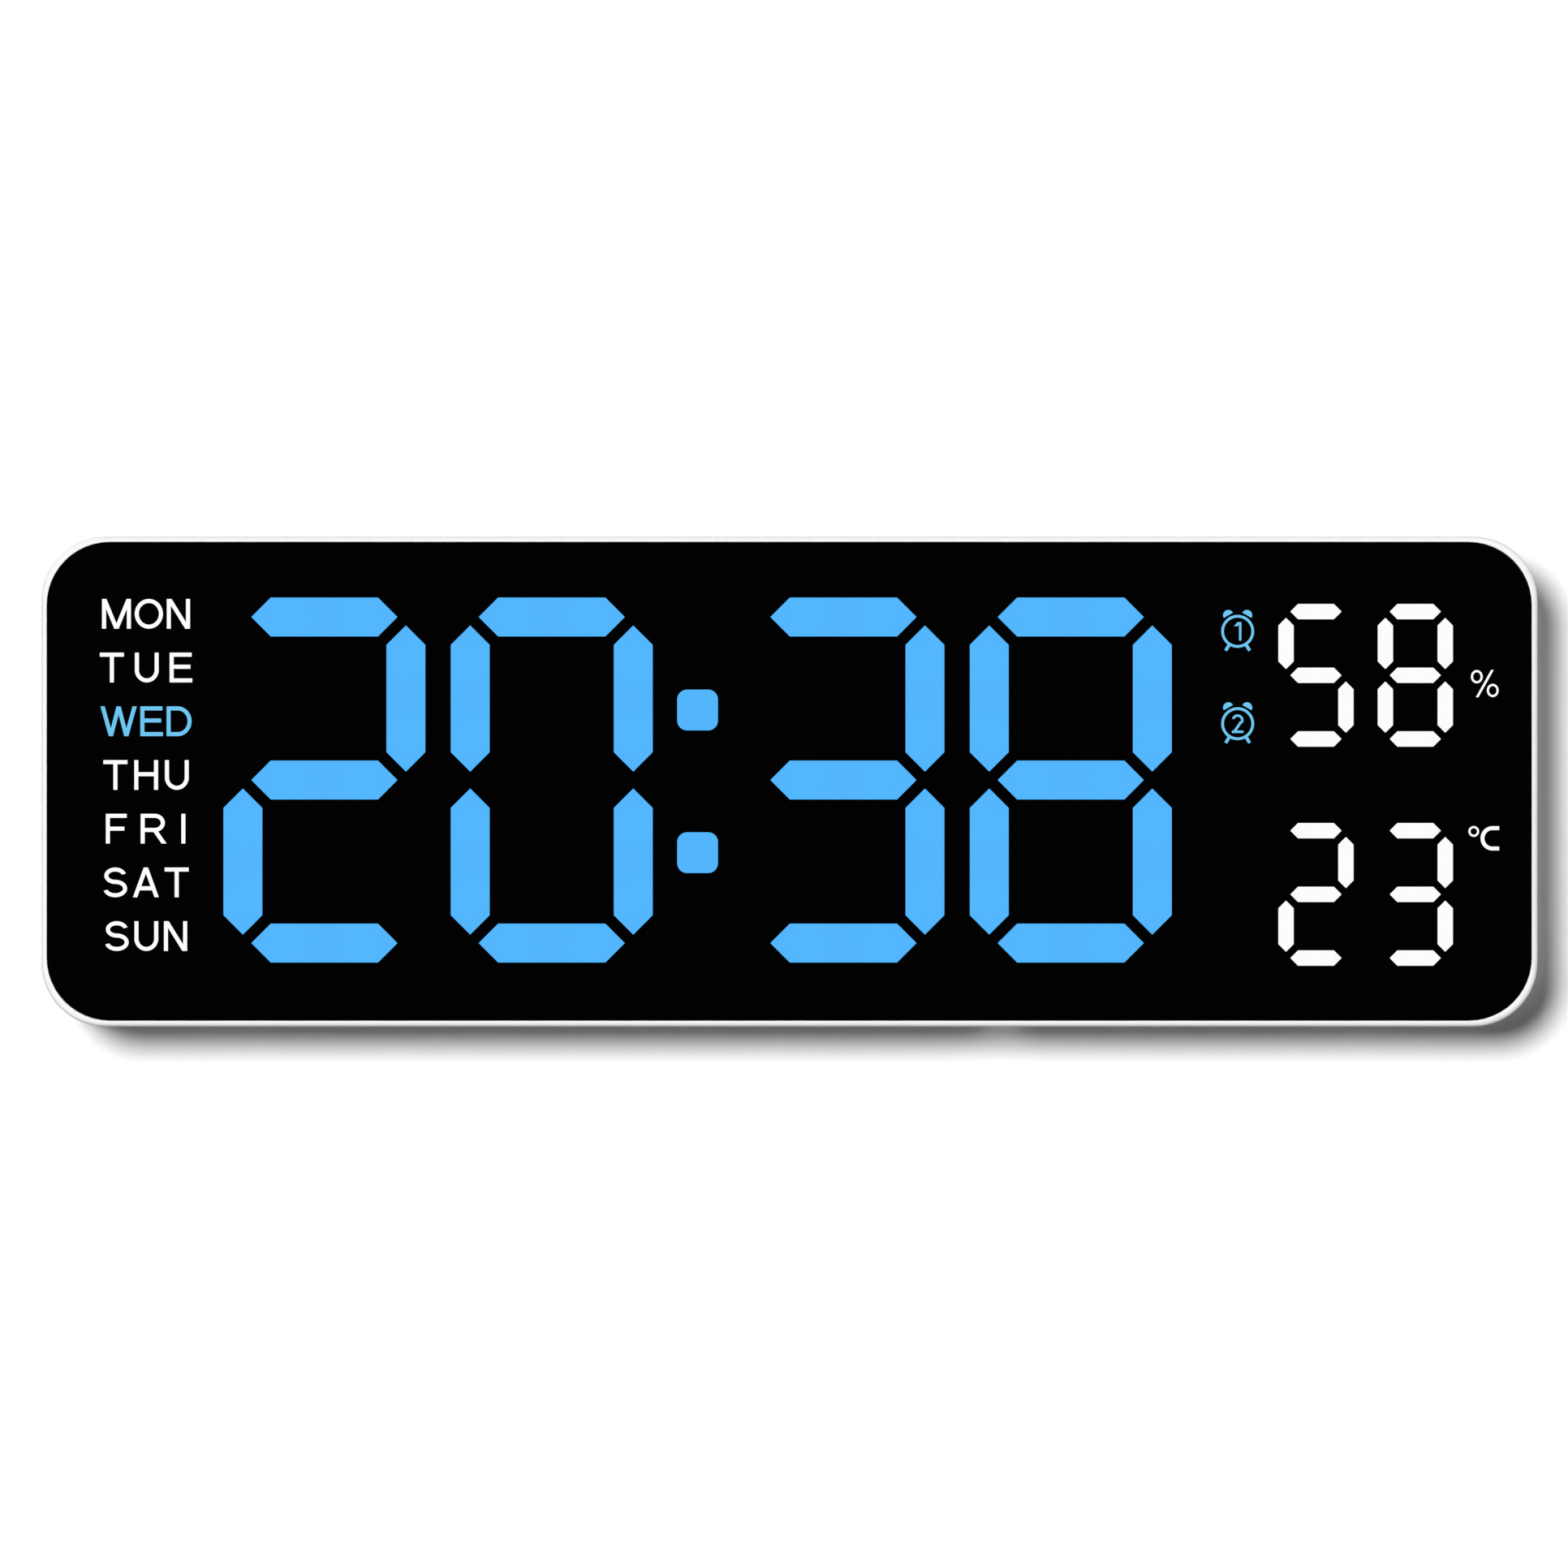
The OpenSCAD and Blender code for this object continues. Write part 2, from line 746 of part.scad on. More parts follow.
module climate_dark_bars() {
    color(dark_lens) {
        small_digits(humidity_figures, humidity_y, dark);
        small_digits(temperature_figures, temperature_y, dark);
    }
}

module weekday_windows() {
    color(dark_lens) at_weekdays() label_window(weekday_w, weekday_h);
}

module alarm_windows() {
    color(dark_lens) at_alarms() label_window(alarm_w, alarm_h);
}

module unit_windows() {
    color(dark_lens) at_units() label_window(unit_size, unit_size);
}

// Block with one open light well behind every bar and window
module reflector() {
    color(white_plastic) layer(z_board, z_reflector) difference() {
        rounded_rect(reflector_w, reflector_h, reflector_r);
        face_outlines(0, -label_well_in);
    }
}

module display_board() {
    notch_r = boss_r + board_gap;
    color(board_green) layer(z_board_back, z_board) difference() {
        rounded_rect(board_w, board_h, board_r);
        at_display_screws() circle(board_clear_r);
        at_case_screws() circle(notch_r);
        for (column = case_columns, side = [-1, 1])
            translate([column, side * (boss_y + boss_r)]) square([2 * notch_r, 2 * boss_r], center = true);
    }
}

module led(size) {
    layer(z_board, z_board + size[2]) square([size[0], size[1]], center = true);
}

module time_leds() {
    color(soft_grey) {
        at_time_bars() for (side = [-1, 1]) translate([side * $bar_l / 4, 0]) led(led_size);
        at_colon() led(led_size);
    }
}

module climate_leds() {
    color(soft_grey) at_small_bars() led(small_led_size);
}

module label_leds() {
    color(soft_grey) {
        at_weekdays() for (side = [-1, 1]) translate([side * weekday_w / 4, 0]) led(led_size);
        at_alarms() led(led_size);
        at_units() led(led_size);
    }
}

// Chip with a row of flat legs on both long sides, on the back of the display board
module chip(size, legs) {
    leg_pitch = size[0] / legs;
    color(chip_black)
        layer(z_board_back - size[2], z_board_back) square([size[0], size[1]], center = true);
    color(bright_metal) for (leg = [0 : legs - 1], side = [-1, 1])
        translate([(leg - (legs - 1) / 2) * leg_pitch, side * (size[1] + leg_size[1]) / 2])
            layer(z_board_back - leg_size[2], z_board_back)
                square([leg_size[0], leg_size[1]], center = true);
}

module microcontroller() {
    translate(controller_place) chip(controller_size, controller_legs);
}

module led_drivers() {
    for (side = [-1, 1]) translate([side * driver_place[0], driver_place[1]]) chip(driver_size, driver_legs);
}

module clock_crystal() {
    color(bright_metal) translate([crystal_place[0], crystal_place[1], z_board_back - crystal_r])
        rotate([90, 0, 0]) cylinder(r = crystal_r, h = crystal_l, center = true);
}

module capacitors() {
    for (side = [-1, 1]) translate([side * can_place[0], can_place[1]]) {
        color(chip_black) layer(z_board_back - can_base_t, z_board_back) square(can_base, center = true);
        color(bright_metal) layer(z_board_back - can_h, z_board_back - can_base_t) circle(can_r);
    }
}

module display_screws() {
    at_display_screws() screw(board_head_r, board_shank_r, board_shank_l, z_board_back);
}

module at_pins() {
    for (pin = [0 : connector_pins - 1], side = [-1, 1])
        translate([(pin - (connector_pins - 1) / 2) * connector_pitch, connector_y])
            translate([0, side * connector_pitch / 2]) children();
}

module board_socket() {
    hole = connector_pin + 2 * connector_gap;
    color(chip_black) layer(z_control_front + header_h, z_board_back) difference() {
        translate([0, connector_y]) square([connector_l, connector_w], center = true);
        at_pins() square(hole, center = true);
    }
}

module board_header() {
    header_end = z_control_front + header_h;
    color(chip_black) translate([0, connector_y])
        layer(z_control_front, header_end) square([connector_l, connector_w], center = true);
    color(bright_metal) at_pins()
        layer(header_end - eps, z_board_back - connector_gap) square(connector_pin, center = true);
}

module control_board() {
    color(board_green) layer(z_control, z_control_front) difference() {
        translate([0, (control_high + control_low) / 2])
            rounded_rect(control_w, control_high - control_low, control_r);
        translate([control_step_x, control_low - cut_over])
            square([control_w, control_step_y - control_low + cut_over]);
        at_control_posts() circle(board_clear_r);
    }
}

module control_screws() {
    color(bright_metal) at_control_posts() translate([0, 0, 2 * z_control_front]) mirror([0, 0, 1])
        screw(board_head_r, board_shank_r, board_shank_l, z_control_front);
}

// Rounded metal tube of the inlet, closed at its inner end
module usb_shell() {
    color(bright_metal) translate([usb_x, usb_top + usb_back, usb_mid]) difference() {
        rotate([-90, 0, 0]) linear_extrude(usb_l) rounded_rect(usb_w, usb_t, usb_r);
        translate([0, -eps, 0]) rotate([-90, 0, 0]) linear_extrude(usb_l - usb_shell_t + eps)
            rounded_rect(usb_w - 2 * usb_shell_t, usb_t - 2 * usb_shell_t, usb_r - usb_shell_t);
    }
}

module usb_tongue() {
    color(chip_black) translate([usb_x, usb_top + usb_back + usb_l - usb_shell_t - tongue_l / 2, usb_mid])
        cube([tongue_w, tongue_l, tongue_t], center = true);
}

module buzzer() {
    color(chip_black) translate([0, buzzer_y]) difference() {
        layer(z_control - buzzer_h, z_control) circle(buzzer_d / 2);
        layer(z_control - buzzer_h - eps, z_control - buzzer_h / 2) circle(buzzer_hole_r);
    }
}

module climate_sensor() {
    slots = [-1.5 : 1 : 1.5];
    slot_pitch = sensor_w / 5;
    slot_w = slot_pitch / 3;
    color(white_plastic) translate([sensor_x, sensor_y]) difference() {
        layer(z_control - sensor_t, z_control) square([sensor_w, sensor_h], center = true);
        for (slot = slots) translate([slot * slot_pitch, 0])
            layer(z_control - sensor_t - eps, z_control - sensor_t / 2)
                square([slot_w, sensor_h / 2], center = true);
    }
}

module cell_contact() {
    color(bright_metal) translate([cell_x, cell_y]) layer(z_cell, z_control) circle(contact_r);
}

// Spring band that wraps the cell's side
module cell_clip() {
    inside = cell_d / 2 + clip_gap;
    color(bright_metal) translate([cell_x, cell_y, z_cell - cell_h]) rotate(-clip_angle / 2)
        rotate_extrude(angle = clip_angle)
            translate([inside, 0]) square([clip_t, cell_h + contact_t]);
}

module coin_cell() {
    rim = 0.8;
    step = 0.3;
    color(bright_metal) translate([cell_x, cell_y]) {
        layer(z_cell - cell_h, z_cell - step) circle(cell_d / 2);
        layer(z_cell - step - eps, z_cell) circle(cell_d / 2 - rim);
    }
}

// Part of a ring about the battery cap's axis
module cap_sector(middle, angle, inside, outside, low, high) {
    rotate(middle - angle / 2) rotate_extrude(angle = angle)
        translate([inside, low]) square([outside - inside, high - low]);
}

module battery_cap() {
    skirt_in = cap_r - cap_skirt_t;
    color(white_plastic) translate([cell_x, cell_y]) difference() {
        union() {
            layer(cap_sink, z_lug + lug_t) circle(cap_r);
            for (lug = [0, 180])
                cap_sector(lug, lug_angle, cap_r - cap_skirt_t / 2, cap_bore_r + lug_reach, z_lug,
                    z_lug + lug_t);
        }
        layer(cap_sink + cap_plate_t, z_lug + lug_t + eps) circle(skirt_in);
        layer(cap_sink - eps, cap_sink + coin_slot[2]) square([coin_slot[0], coin_slot[1]], center = true);
    }
}

module switch_bodies() {
    bore = plunger_r + plunger_gap;
    color(chip_black) at_buttons() difference() {
        layer(z_control - switch_h, z_control) square(switch_size, center = true);
        layer(z_control - switch_h - eps, z_control - switch_h + plunger_in + plunger_room) circle(bore);
    }
}

module button(index) {
    flange_across = button_w + 2 * button_flange_w;
    flange_high = button_h + 2 * button_flange_w;
    color(soft_grey) translate([button_columns[index], button_y]) {
        layer(button_sink, z_button_end) rounded_rect(button_w, button_h, button_r);
        layer(z_button_stop, z_button_end)
            rounded_rect(flange_across, flange_high, button_r + button_flange_w);
    }
}

module plunger(index) {
    color(dark_metal) translate([button_columns[index], button_y])
        layer(z_button_end, z_control - switch_h + plunger_in) circle(plunger_r);
}

module set_button() {
    button(0);
}

module up_button() {
    button(1);
}

module down_button() {
    button(2);
}

module alarm_button() {
    button(3);
}

module set_plunger() {
    plunger(0);
}

module up_plunger() {
    plunger(1);
}

module down_plunger() {
    plunger(2);
}

module alarm_plunger() {
    plunger(3);
}

// Outer shell of the cover with the lip that reaches into the casing
module cover_shell() {
    lip_w = inner_w - 2 * lip_gap;
    lip_height = inner_h - 2 * lip_gap;
    lip_r = inner_r - lip_gap;
    lip_root = lip_h + lip_t;
    difference() {
        union() {
            difference() {
                translate([0, 0, z_part]) rotate([180, 0, 0])
                    soft_slab(clock_w, clock_h, corner_r, z_part, rear_edge_r);
                layer(cover_t, z_part + eps) rounded_rect(inner_w, inner_h, inner_r);
            }
            layer(z_part - lip_root, z_part)
                rounded_rect(inner_w + lip_gap, inner_h + lip_gap, inner_r + lip_gap / 2);
            layer(z_part - eps, cover_d + lip_h) rounded_rect(lip_w, lip_height, lip_r);
        }
        layer(cover_t, cover_d + lip_h + eps)
            rounded_rect(lip_w - 2 * lip_t, lip_height - 2 * lip_t, lip_r - lip_t);
        at_case_screws() layer(cover_d, cover_d + lip_h + eps) circle(boss_r + 2 * lip_gap);
    }
}

module at_keyholes() {
    for (side = [-1, 1]) translate([side * keyhole_pitch / 2, keyhole_y]) children();
}

module at_feet() {
    for (side = [-1, 1]) translate([side * foot_spread / 2, 0]) children();
}

// Walls that stand on the inside of the cover's back plate
module cover_walls() {
    pocket_low = -inner_h / 2;
    pocket_high = usb_top + pocket_t;
    pocket_w = usb_pocket_w + 2 * pocket_t;
    foot_low = -inner_h / 2 - lip_gap;
    at_case_screws() layer(cover_t - eps, cover_d) circle(case_post_r);
    at_control_posts() layer(cover_t - eps, z_control) circle(control_boss_r);
    translate([cell_x, cell_y]) layer(cover_t - eps, z_collar) circle(collar_r);
    at_keyholes() translate([0, keyhole_rise / 2]) layer(cover_t - eps, cover_t + hood_d + pocket_t)
        square([hood_w + 2 * pocket_t, hood_h + 2 * pocket_t], center = true);
    translate([usb_x - pocket_w / 2, pocket_low - lip_gap])
        layer(cover_t - eps, z_part) square([pocket_w, pocket_high - pocket_low + lip_gap]);
    translate([usb_x - pocket_w / 2, pocket_low + lip_gap])
        layer(z_part - eps, usb_pocket_d + pocket_t) square([pocket_w, pocket_high - pocket_low - lip_gap]);
    at_feet() translate([-foot_room_w / 2 - foot_ear, foot_low])
        layer(cover_t - eps, foot_room_d + pocket_t)
            square([foot_room_w + 2 * foot_ear, foot_room_end + pocket_t - foot_low]);
}

// Everything cut out of the cover
module cover_cuts() {
    at_case_screws() {
        layer(-eps, case_seat) circle(case_recess_r);
        layer(case_seat - eps, cover_d + eps) circle(case_clear_r);
    }
    at_control_posts() layer(cover_t + pilot_room, z_control + eps) circle(board_pilot_r);
    at_keyholes() {
        layer(-eps, cover_t + eps) {
            circle(keyhole_head_d / 2);
            translate([-keyhole_slot_w / 2, 0]) square([keyhole_slot_w, keyhole_rise]);
            translate([0, keyhole_rise]) circle(keyhole_slot_w / 2);
        }
        translate([0, keyhole_rise / 2])
            layer(cover_t, cover_t + hood_d) square([hood_w, hood_h], center = true);
    }
    translate([0, button_y]) layer(-eps, strip_d) rounded_rect(strip_w, strip_h, strip_r);
    at_buttons() layer(-eps, cover_t + eps)
        rounded_rect(button_w + 2 * button_gap, button_h + 2 * button_gap, button_r + button_gap);
    translate([0, buzzer_y]) layer(-eps, cover_t + eps) {
        circle(sound_hole_r);
        for (turn = [0 : 60 : 300]) rotate(turn) translate([sound_ring_r, 0]) circle(sound_hole_r);
    }
    for (slot = [0 : vent_count - 1])
        translate([sensor_x + (slot - (vent_count - 1) / 2) * vent_pitch, sensor_y])
            layer(-eps, cover_t + eps) square([vent_w, sensor_h], center = true);
    usb_cuts();
    cap_cuts();
    foot_cuts();
}

module usb_cuts() {
    translate([usb_x - usb_pocket_w / 2, -inner_h / 2, -eps])
        cube([usb_pocket_w, usb_top + inner_h / 2, usb_pocket_d + eps]);
    translate([usb_x, usb_top - eps, usb_mid]) rotate([-90, 0, 0]) linear_extrude(pocket_t + 2 * eps)
        rounded_rect(usb_w + 2 * usb_slot_gap, usb_t + 2 * usb_slot_gap, usb_r + usb_slot_gap);
    translate([usb_x, -clock_h / 2 - eps, 0]) {
        translate([-cable_w / 2, 0, -eps]) cube([cable_w, wall + 2 * eps, cable_d - cable_w / 2 + eps]);
        translate([0, 0, cable_d - cable_w / 2])
            rotate([-90, 0, 0]) cylinder(d = cable_w, h = wall + 2 * eps);
    }
}

module cap_cuts() {
    free_angle = lug_angle + 2 * lug_play;
    outside = cap_bore_r + lug_reach + lug_gap;
    translate([cell_x, cell_y]) {
        layer(-eps, z_collar + eps) circle(cap_bore_r);
        for (lug = [0, 180]) {
            cap_sector(lug - cap_turn / 2, free_angle + cap_turn, cap_bore_r - cut_over, outside,
                z_lug - lug_gap, z_lug + lug_t + lug_gap);
            cap_sector(lug - cap_turn, free_angle, cap_bore_r - cut_over, outside, -eps, z_lug + lug_t);
        }
    }
}

module foot_cuts() {
    room_low = -clock_h / 2 - cut_over;
    at_feet() {
        translate([-foot_room_w / 2, room_low, -eps])
            cube([foot_room_w, foot_room_end - room_low, foot_room_d + eps]);
        translate([0, hinge_y, z_hinge]) rotate([0, 90, 0])
            cylinder(r = pin_r + pin_gap, h = foot_room_w + 2 * (pin_reach + foot_gap), center = true);
    }
}

module rear_cover() {
    color(white_plastic) difference() {
        union() {
            cover_shell();
            cover_walls();
        }
        cover_cuts();
    }
}

// Foot folded flat against the back, with its hinge pins at the lower end
module foot(side) {
    color(white_plastic) translate([side * foot_spread / 2, hinge_y, z_hinge]) difference() {
        union() {
            translate([-foot_w / 2, 0, -foot_t / 2]) cube([foot_w, foot_l, foot_t]);
            rotate([0, 90, 0]) cylinder(r = barrel_r, h = foot_w, center = true);
            rotate([0, 90, 0])
                cylinder(r = pin_r, h = foot_w + 2 * (pin_reach + foot_gap / 2), center = true);
        }
        for (grip = [1 : grip_count])
            translate([-foot_w / 2 - eps, foot_l - grip_inset - grip * grip_pitch, -foot_t / 2 - eps])
                cube([foot_w + 2 * eps, grip_w, grip_depth + eps]);
    }
}

module left_foot() {
    foot(-1);
}

module right_foot() {
    foot(1);
}

module case_screws() {
    at_case_screws() screw(case_head_r, case_shank_r, case_shank_l, case_seat);
}

hang() front_casing();
hang() front_panel();
hang() panel_tape();
hang() hour_tens_bars();
hang() hour_units_bars();
hang() minute_tens_bars();
hang() minute_units_bars();
hang() time_dark_bars();
hang() colon_dots();
hang() humidity_bars();
hang() temperature_bars();
hang() climate_dark_bars();
hang() weekday_windows();
hang() alarm_windows();
hang() unit_windows();
hang() reflector();
hang() display_board();
hang() time_leds();
hang() climate_leds();
hang() label_leds();
hang() microcontroller();
hang() led_drivers();
hang() clock_crystal();
hang() capacitors();
hang() display_screws();
hang() board_socket();
hang() board_header();
hang() control_board();
hang() control_screws();
hang() usb_shell();
hang() usb_tongue();
hang() buzzer();
hang() climate_sensor();
hang() cell_contact();
hang() cell_clip();
hang() coin_cell();
hang() battery_cap();
hang() switch_bodies();
hang() set_button();
hang() up_button();
hang() down_button();
hang() alarm_button();
hang() set_plunger();
hang() up_plunger();
hang() down_plunger();
hang() alarm_plunger();
hang() rear_cover();
hang() left_foot();
hang() right_foot();
hang() case_screws();
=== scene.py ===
"""Dresses a digital wall clock: white casing, black face, lit display, marks on the back and the studio.

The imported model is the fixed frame. Sizes are in millimetres, and Blender's metres are reached through MM.
Flat drawings use x to the right and y upwards, as seen by someone who looks at the surface they lie on.
"""

import json
import logging
import math
from collections.abc import Iterable, Mapping
from dataclasses import dataclass, field
from enum import Enum
from typing import Any, ClassVar

import bmesh
import bpy
from mathutils import Matrix, Vector
from mathutils.geometry import delaunay_2d_cdt

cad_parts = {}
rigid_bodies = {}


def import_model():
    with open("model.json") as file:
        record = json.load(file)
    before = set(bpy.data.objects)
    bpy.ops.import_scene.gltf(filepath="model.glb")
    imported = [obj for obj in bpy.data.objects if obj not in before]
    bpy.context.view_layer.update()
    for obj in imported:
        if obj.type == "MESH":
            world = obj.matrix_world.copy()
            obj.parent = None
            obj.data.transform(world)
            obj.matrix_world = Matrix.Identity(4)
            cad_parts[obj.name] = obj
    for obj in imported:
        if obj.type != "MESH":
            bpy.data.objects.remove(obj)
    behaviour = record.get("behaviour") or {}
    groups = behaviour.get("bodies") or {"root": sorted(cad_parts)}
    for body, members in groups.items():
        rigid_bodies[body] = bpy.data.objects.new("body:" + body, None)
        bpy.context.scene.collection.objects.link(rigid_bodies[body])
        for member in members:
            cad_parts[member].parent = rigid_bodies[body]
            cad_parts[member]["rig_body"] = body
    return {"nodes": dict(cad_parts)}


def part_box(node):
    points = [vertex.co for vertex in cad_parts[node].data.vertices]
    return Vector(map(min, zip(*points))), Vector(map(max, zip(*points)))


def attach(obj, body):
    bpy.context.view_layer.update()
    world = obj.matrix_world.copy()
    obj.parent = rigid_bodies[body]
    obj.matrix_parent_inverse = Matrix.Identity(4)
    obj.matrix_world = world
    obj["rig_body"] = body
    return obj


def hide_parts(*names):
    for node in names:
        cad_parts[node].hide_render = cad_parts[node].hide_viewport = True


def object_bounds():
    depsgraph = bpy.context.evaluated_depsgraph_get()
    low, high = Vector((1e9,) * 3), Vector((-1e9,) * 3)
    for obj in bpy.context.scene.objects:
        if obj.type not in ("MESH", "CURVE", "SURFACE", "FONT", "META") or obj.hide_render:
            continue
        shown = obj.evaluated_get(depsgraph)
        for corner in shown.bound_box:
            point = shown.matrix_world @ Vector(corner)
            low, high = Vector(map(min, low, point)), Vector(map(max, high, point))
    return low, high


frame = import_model()
CAD_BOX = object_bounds()
LOG = logging.getLogger("wall_clock")
MM = 0.001
MICRON = 0.000001

Point = tuple[float, float]
Tone = tuple[float, float, float]
Way = tuple[float, float, float]
Box = tuple[Vector, Vector]


class Light(Enum):
    """The colours that the display shines in."""

    BLUE = (0.0802, 0.468, 0.991)
    PALE_BLUE = (0.15, 0.57, 0.89)
    WHITE = (0.982, 0.974, 0.982)


class Weekday(Enum):
    """The seven labels from the top down, each as its row and the width that its word fills."""

    MON = (0, 13.8)
    TUE = (1, 14.5)
    WED = (2, 14.3)
    THU = (3, 13.4)
    FRI = (4, 12.6)
    SAT = (5, 13.4)
    SUN = (6, 12.9)

    @property
    def width(self) -> float:
        """Gives the width that the word fills."""
        return self.value[1]


class Side(Enum):
    """The surface that a flat drawing lies on, as the turn that stands it up there."""

    FRONT = Matrix.Rotation(math.pi / 2, 4, "X")
    BACK = Matrix.Rotation(math.pi, 4, "Z") @ Matrix.Rotation(math.pi / 2, 4, "X")


class Wire:
    """An output socket that takes part in Python expressions, each operator adding its node."""

    def __init__(self, graph: "Graph", socket: bpy.types.NodeSocket | None) -> None:
        """Keeps the tree and the socket that carries the value."""
        self.graph = graph
        self.socket = socket

    def out(self, name: str) -> "Wire":
        """Gives another output of the same node."""
        return Wire(self.graph, self.graph.find(self.socket.node.outputs, name))

    def __add__(self, other: "Wire | float") -> "Wire":
        """Adds two values."""
        return self.graph.math("ADD", self, other)

    __radd__ = __add__

    def __sub__(self, other: "Wire | float") -> "Wire":
        """Takes the other value from this one."""
        return self.graph.math("SUBTRACT", self, other)

    def __rsub__(self, other: float) -> "Wire":
        """Takes this value from a number."""
        return self.graph.math("SUBTRACT", other, self)

    def __mul__(self, other: "Wire | float") -> "Wire":
        """Multiplies two values."""
        return self.graph.math("MULTIPLY", self, other)

    __rmul__ = __mul__

    def __truediv__(self, other: "Wire | float") -> "Wire":
        """Divides this value by the other."""
        return self.graph.math("DIVIDE", self, other)

    def __rtruediv__(self, other: float) -> "Wire":
        """Divides a number by this value."""
        return self.graph.math("DIVIDE", other, self)

    def __gt__(self, other: "Wire | float") -> "Wire":
        """Is 1 where this value is the greater one."""
        return self.graph.math("GREATER_THAN", self, other)

    def __lt__(self, other: "Wire | float") -> "Wire":
        """Is 1 where this value is the lesser one."""
        return self.graph.math("LESS_THAN", self, other)

    def __abs__(self) -> "Wire":
        """Drops the sign."""
        return self.graph.math("ABSOLUTE", self)


class Graph:
    """Builds the nodes of one tree, for shaders and for geometry alike."""

    edge_samples: ClassVar[int] = 4

    def __init__(self, tree: bpy.types.NodeTree) -> None:
        """Starts with an empty tree."""
        self.tree = tree
        tree.nodes.clear()

    @staticmethod
    def find(sockets: Iterable[bpy.types.NodeSocket], key: str | int) -> bpy.types.NodeSocket:
        """Finds a socket that is in use on its node.

        Args:
            sockets: The inputs or outputs of a node.
            key: The socket's name or identifier, or its place among those in use.

        Returns:
            The first socket that fits.
        """
        used = [socket for socket in sockets if socket.enabled]
        if isinstance(key, int):
            return used[key]
        return next(socket for socket in used if key in (socket.name, socket.identifier))

    def node(self, kind: str, settings: Mapping[str, Any] | None = None,
             sockets: Mapping[str | int, Any] | None = None) -> Wire:
        """Adds one node.

        Args:
            kind: The node's type.
            settings: Its properties, set before its sockets.
            sockets: The value, wire or list of wires for each input.

        Returns:
            The node's first output in use.
        """
        made = self.tree.nodes.new(kind)
        for name, value in (settings or {}).items():
            setattr(made, name, value)
        for key, value in (sockets or {}).items():
            socket = self.find(made.inputs, key)
            for item in value if isinstance(value, list) else [value]:
                if isinstance(item, Wire):
                    self.tree.links.new(item.socket, socket)
                else:
                    socket.default_value = item
        used = [socket for socket in made.outputs if socket.enabled]
        return Wire(self, used[0] if used else None)

    def math(self, operation: str, *values: Wire | float) -> Wire:
        """Adds a Math node that takes the values in order, and gives its result."""
        return self.node("ShaderNodeMath", {"operation": operation}, dict(enumerate(values)))

    def mix(self, first: Wire | Tone, second: Wire | Tone, share: Wire) -> Wire:
        """Blends two colours.

        Args:
            first: The colour where the share is 0.
            second: The colour where the share is 1.
            share: How much of the second colour shows.

        Returns:
            The blended colour.
        """
        colours = [item if isinstance(item, Wire) else (*item, 1.0) for item in (first, second)]
        return self.node("ShaderNodeMix", {"data_type": "RGBA", "clamp_factor": True},
                         {"Factor": share, "A": colours[0], "B": colours[1]})

    def point(self, **parts: Wire | float) -> Wire:
        """Joins the parts X, Y and Z into a vector, with 0 for a part that isn't given."""
        return self.node("ShaderNodeCombineXYZ", {}, parts)

    def place(self) -> Wire:
        """Gives the point on the piece in the shared frame, in metres."""
        return self.node("ShaderNodeTexCoord").out("Object")

    def axes(self, vector: Wire) -> tuple[Wire, Wire, Wire]:
        """Splits a vector into its three parts."""
        parts = self.node("ShaderNodeSeparateXYZ", {}, {"Vector": vector})
        return parts.out("X"), parts.out("Y"), parts.out("Z")

    def noise(self, place: Wire, size: float, detail: float = 2.0, rough: float = 0.55) -> Wire:
        """Adds noise between 0 and 1, with lumps of a size in millimetres and finer layers over them."""
        return self.node("ShaderNodeTexNoise", {"noise_dimensions": "3D"}, {
            "Vector": place, "Scale": 1 / (size * MM), "Detail": detail, "Roughness": rough})

    def relief(self, height: Wire, depth: float, strength: float, soft_edge: float = 0.0) -> Wire:
        """Turns a height into a bumped normal.

        Args:
            height: The height between 0 and 1.
            depth: Depth of the relief in microns.
            strength: Share of the relief that shows.
            soft_edge: Radius in millimetres at which hard edges catch the light.

        Returns:
            The normal.
        """
        sockets = {"Height": height, "Distance": depth * MICRON, "Strength": strength}
        if soft_edge:
            sockets["Normal"] = self.node("ShaderNodeBevel", {"samples": self.edge_samples},
                                          {"Radius": soft_edge * MM})
        return self.node("ShaderNodeBump", {}, sockets)


def shade(tone: Tone, share: float) -> Tone:
    """Brings a tone to a share of its brightness."""
    return tuple(share * part for part in tone)


@dataclass(frozen=True)
class Finish:
    """A surface finish that becomes one procedural material."""

    name: str
    made: ClassVar[dict[str, bpy.types.Material]] = {}

    def material(self) -> bpy.types.Material:
        """Makes the material on first use.

        Returns:
            The one material of this finish.
        """
        if self.name not in Finish.made:
            material = bpy.data.materials.new(self.name)
            material.use_nodes = True
            graph = Graph(material.node_tree)
            surface = self.surface(graph)
            graph.node("ShaderNodeOutputMaterial", {}, {"Surface": surface})
            Finish.made[self.name] = material
        return Finish.made[self.name]

    def surface(self, graph: Graph) -> Wire:
        """Builds the finish's shader in the material's empty tree."""
        raise NotImplementedError


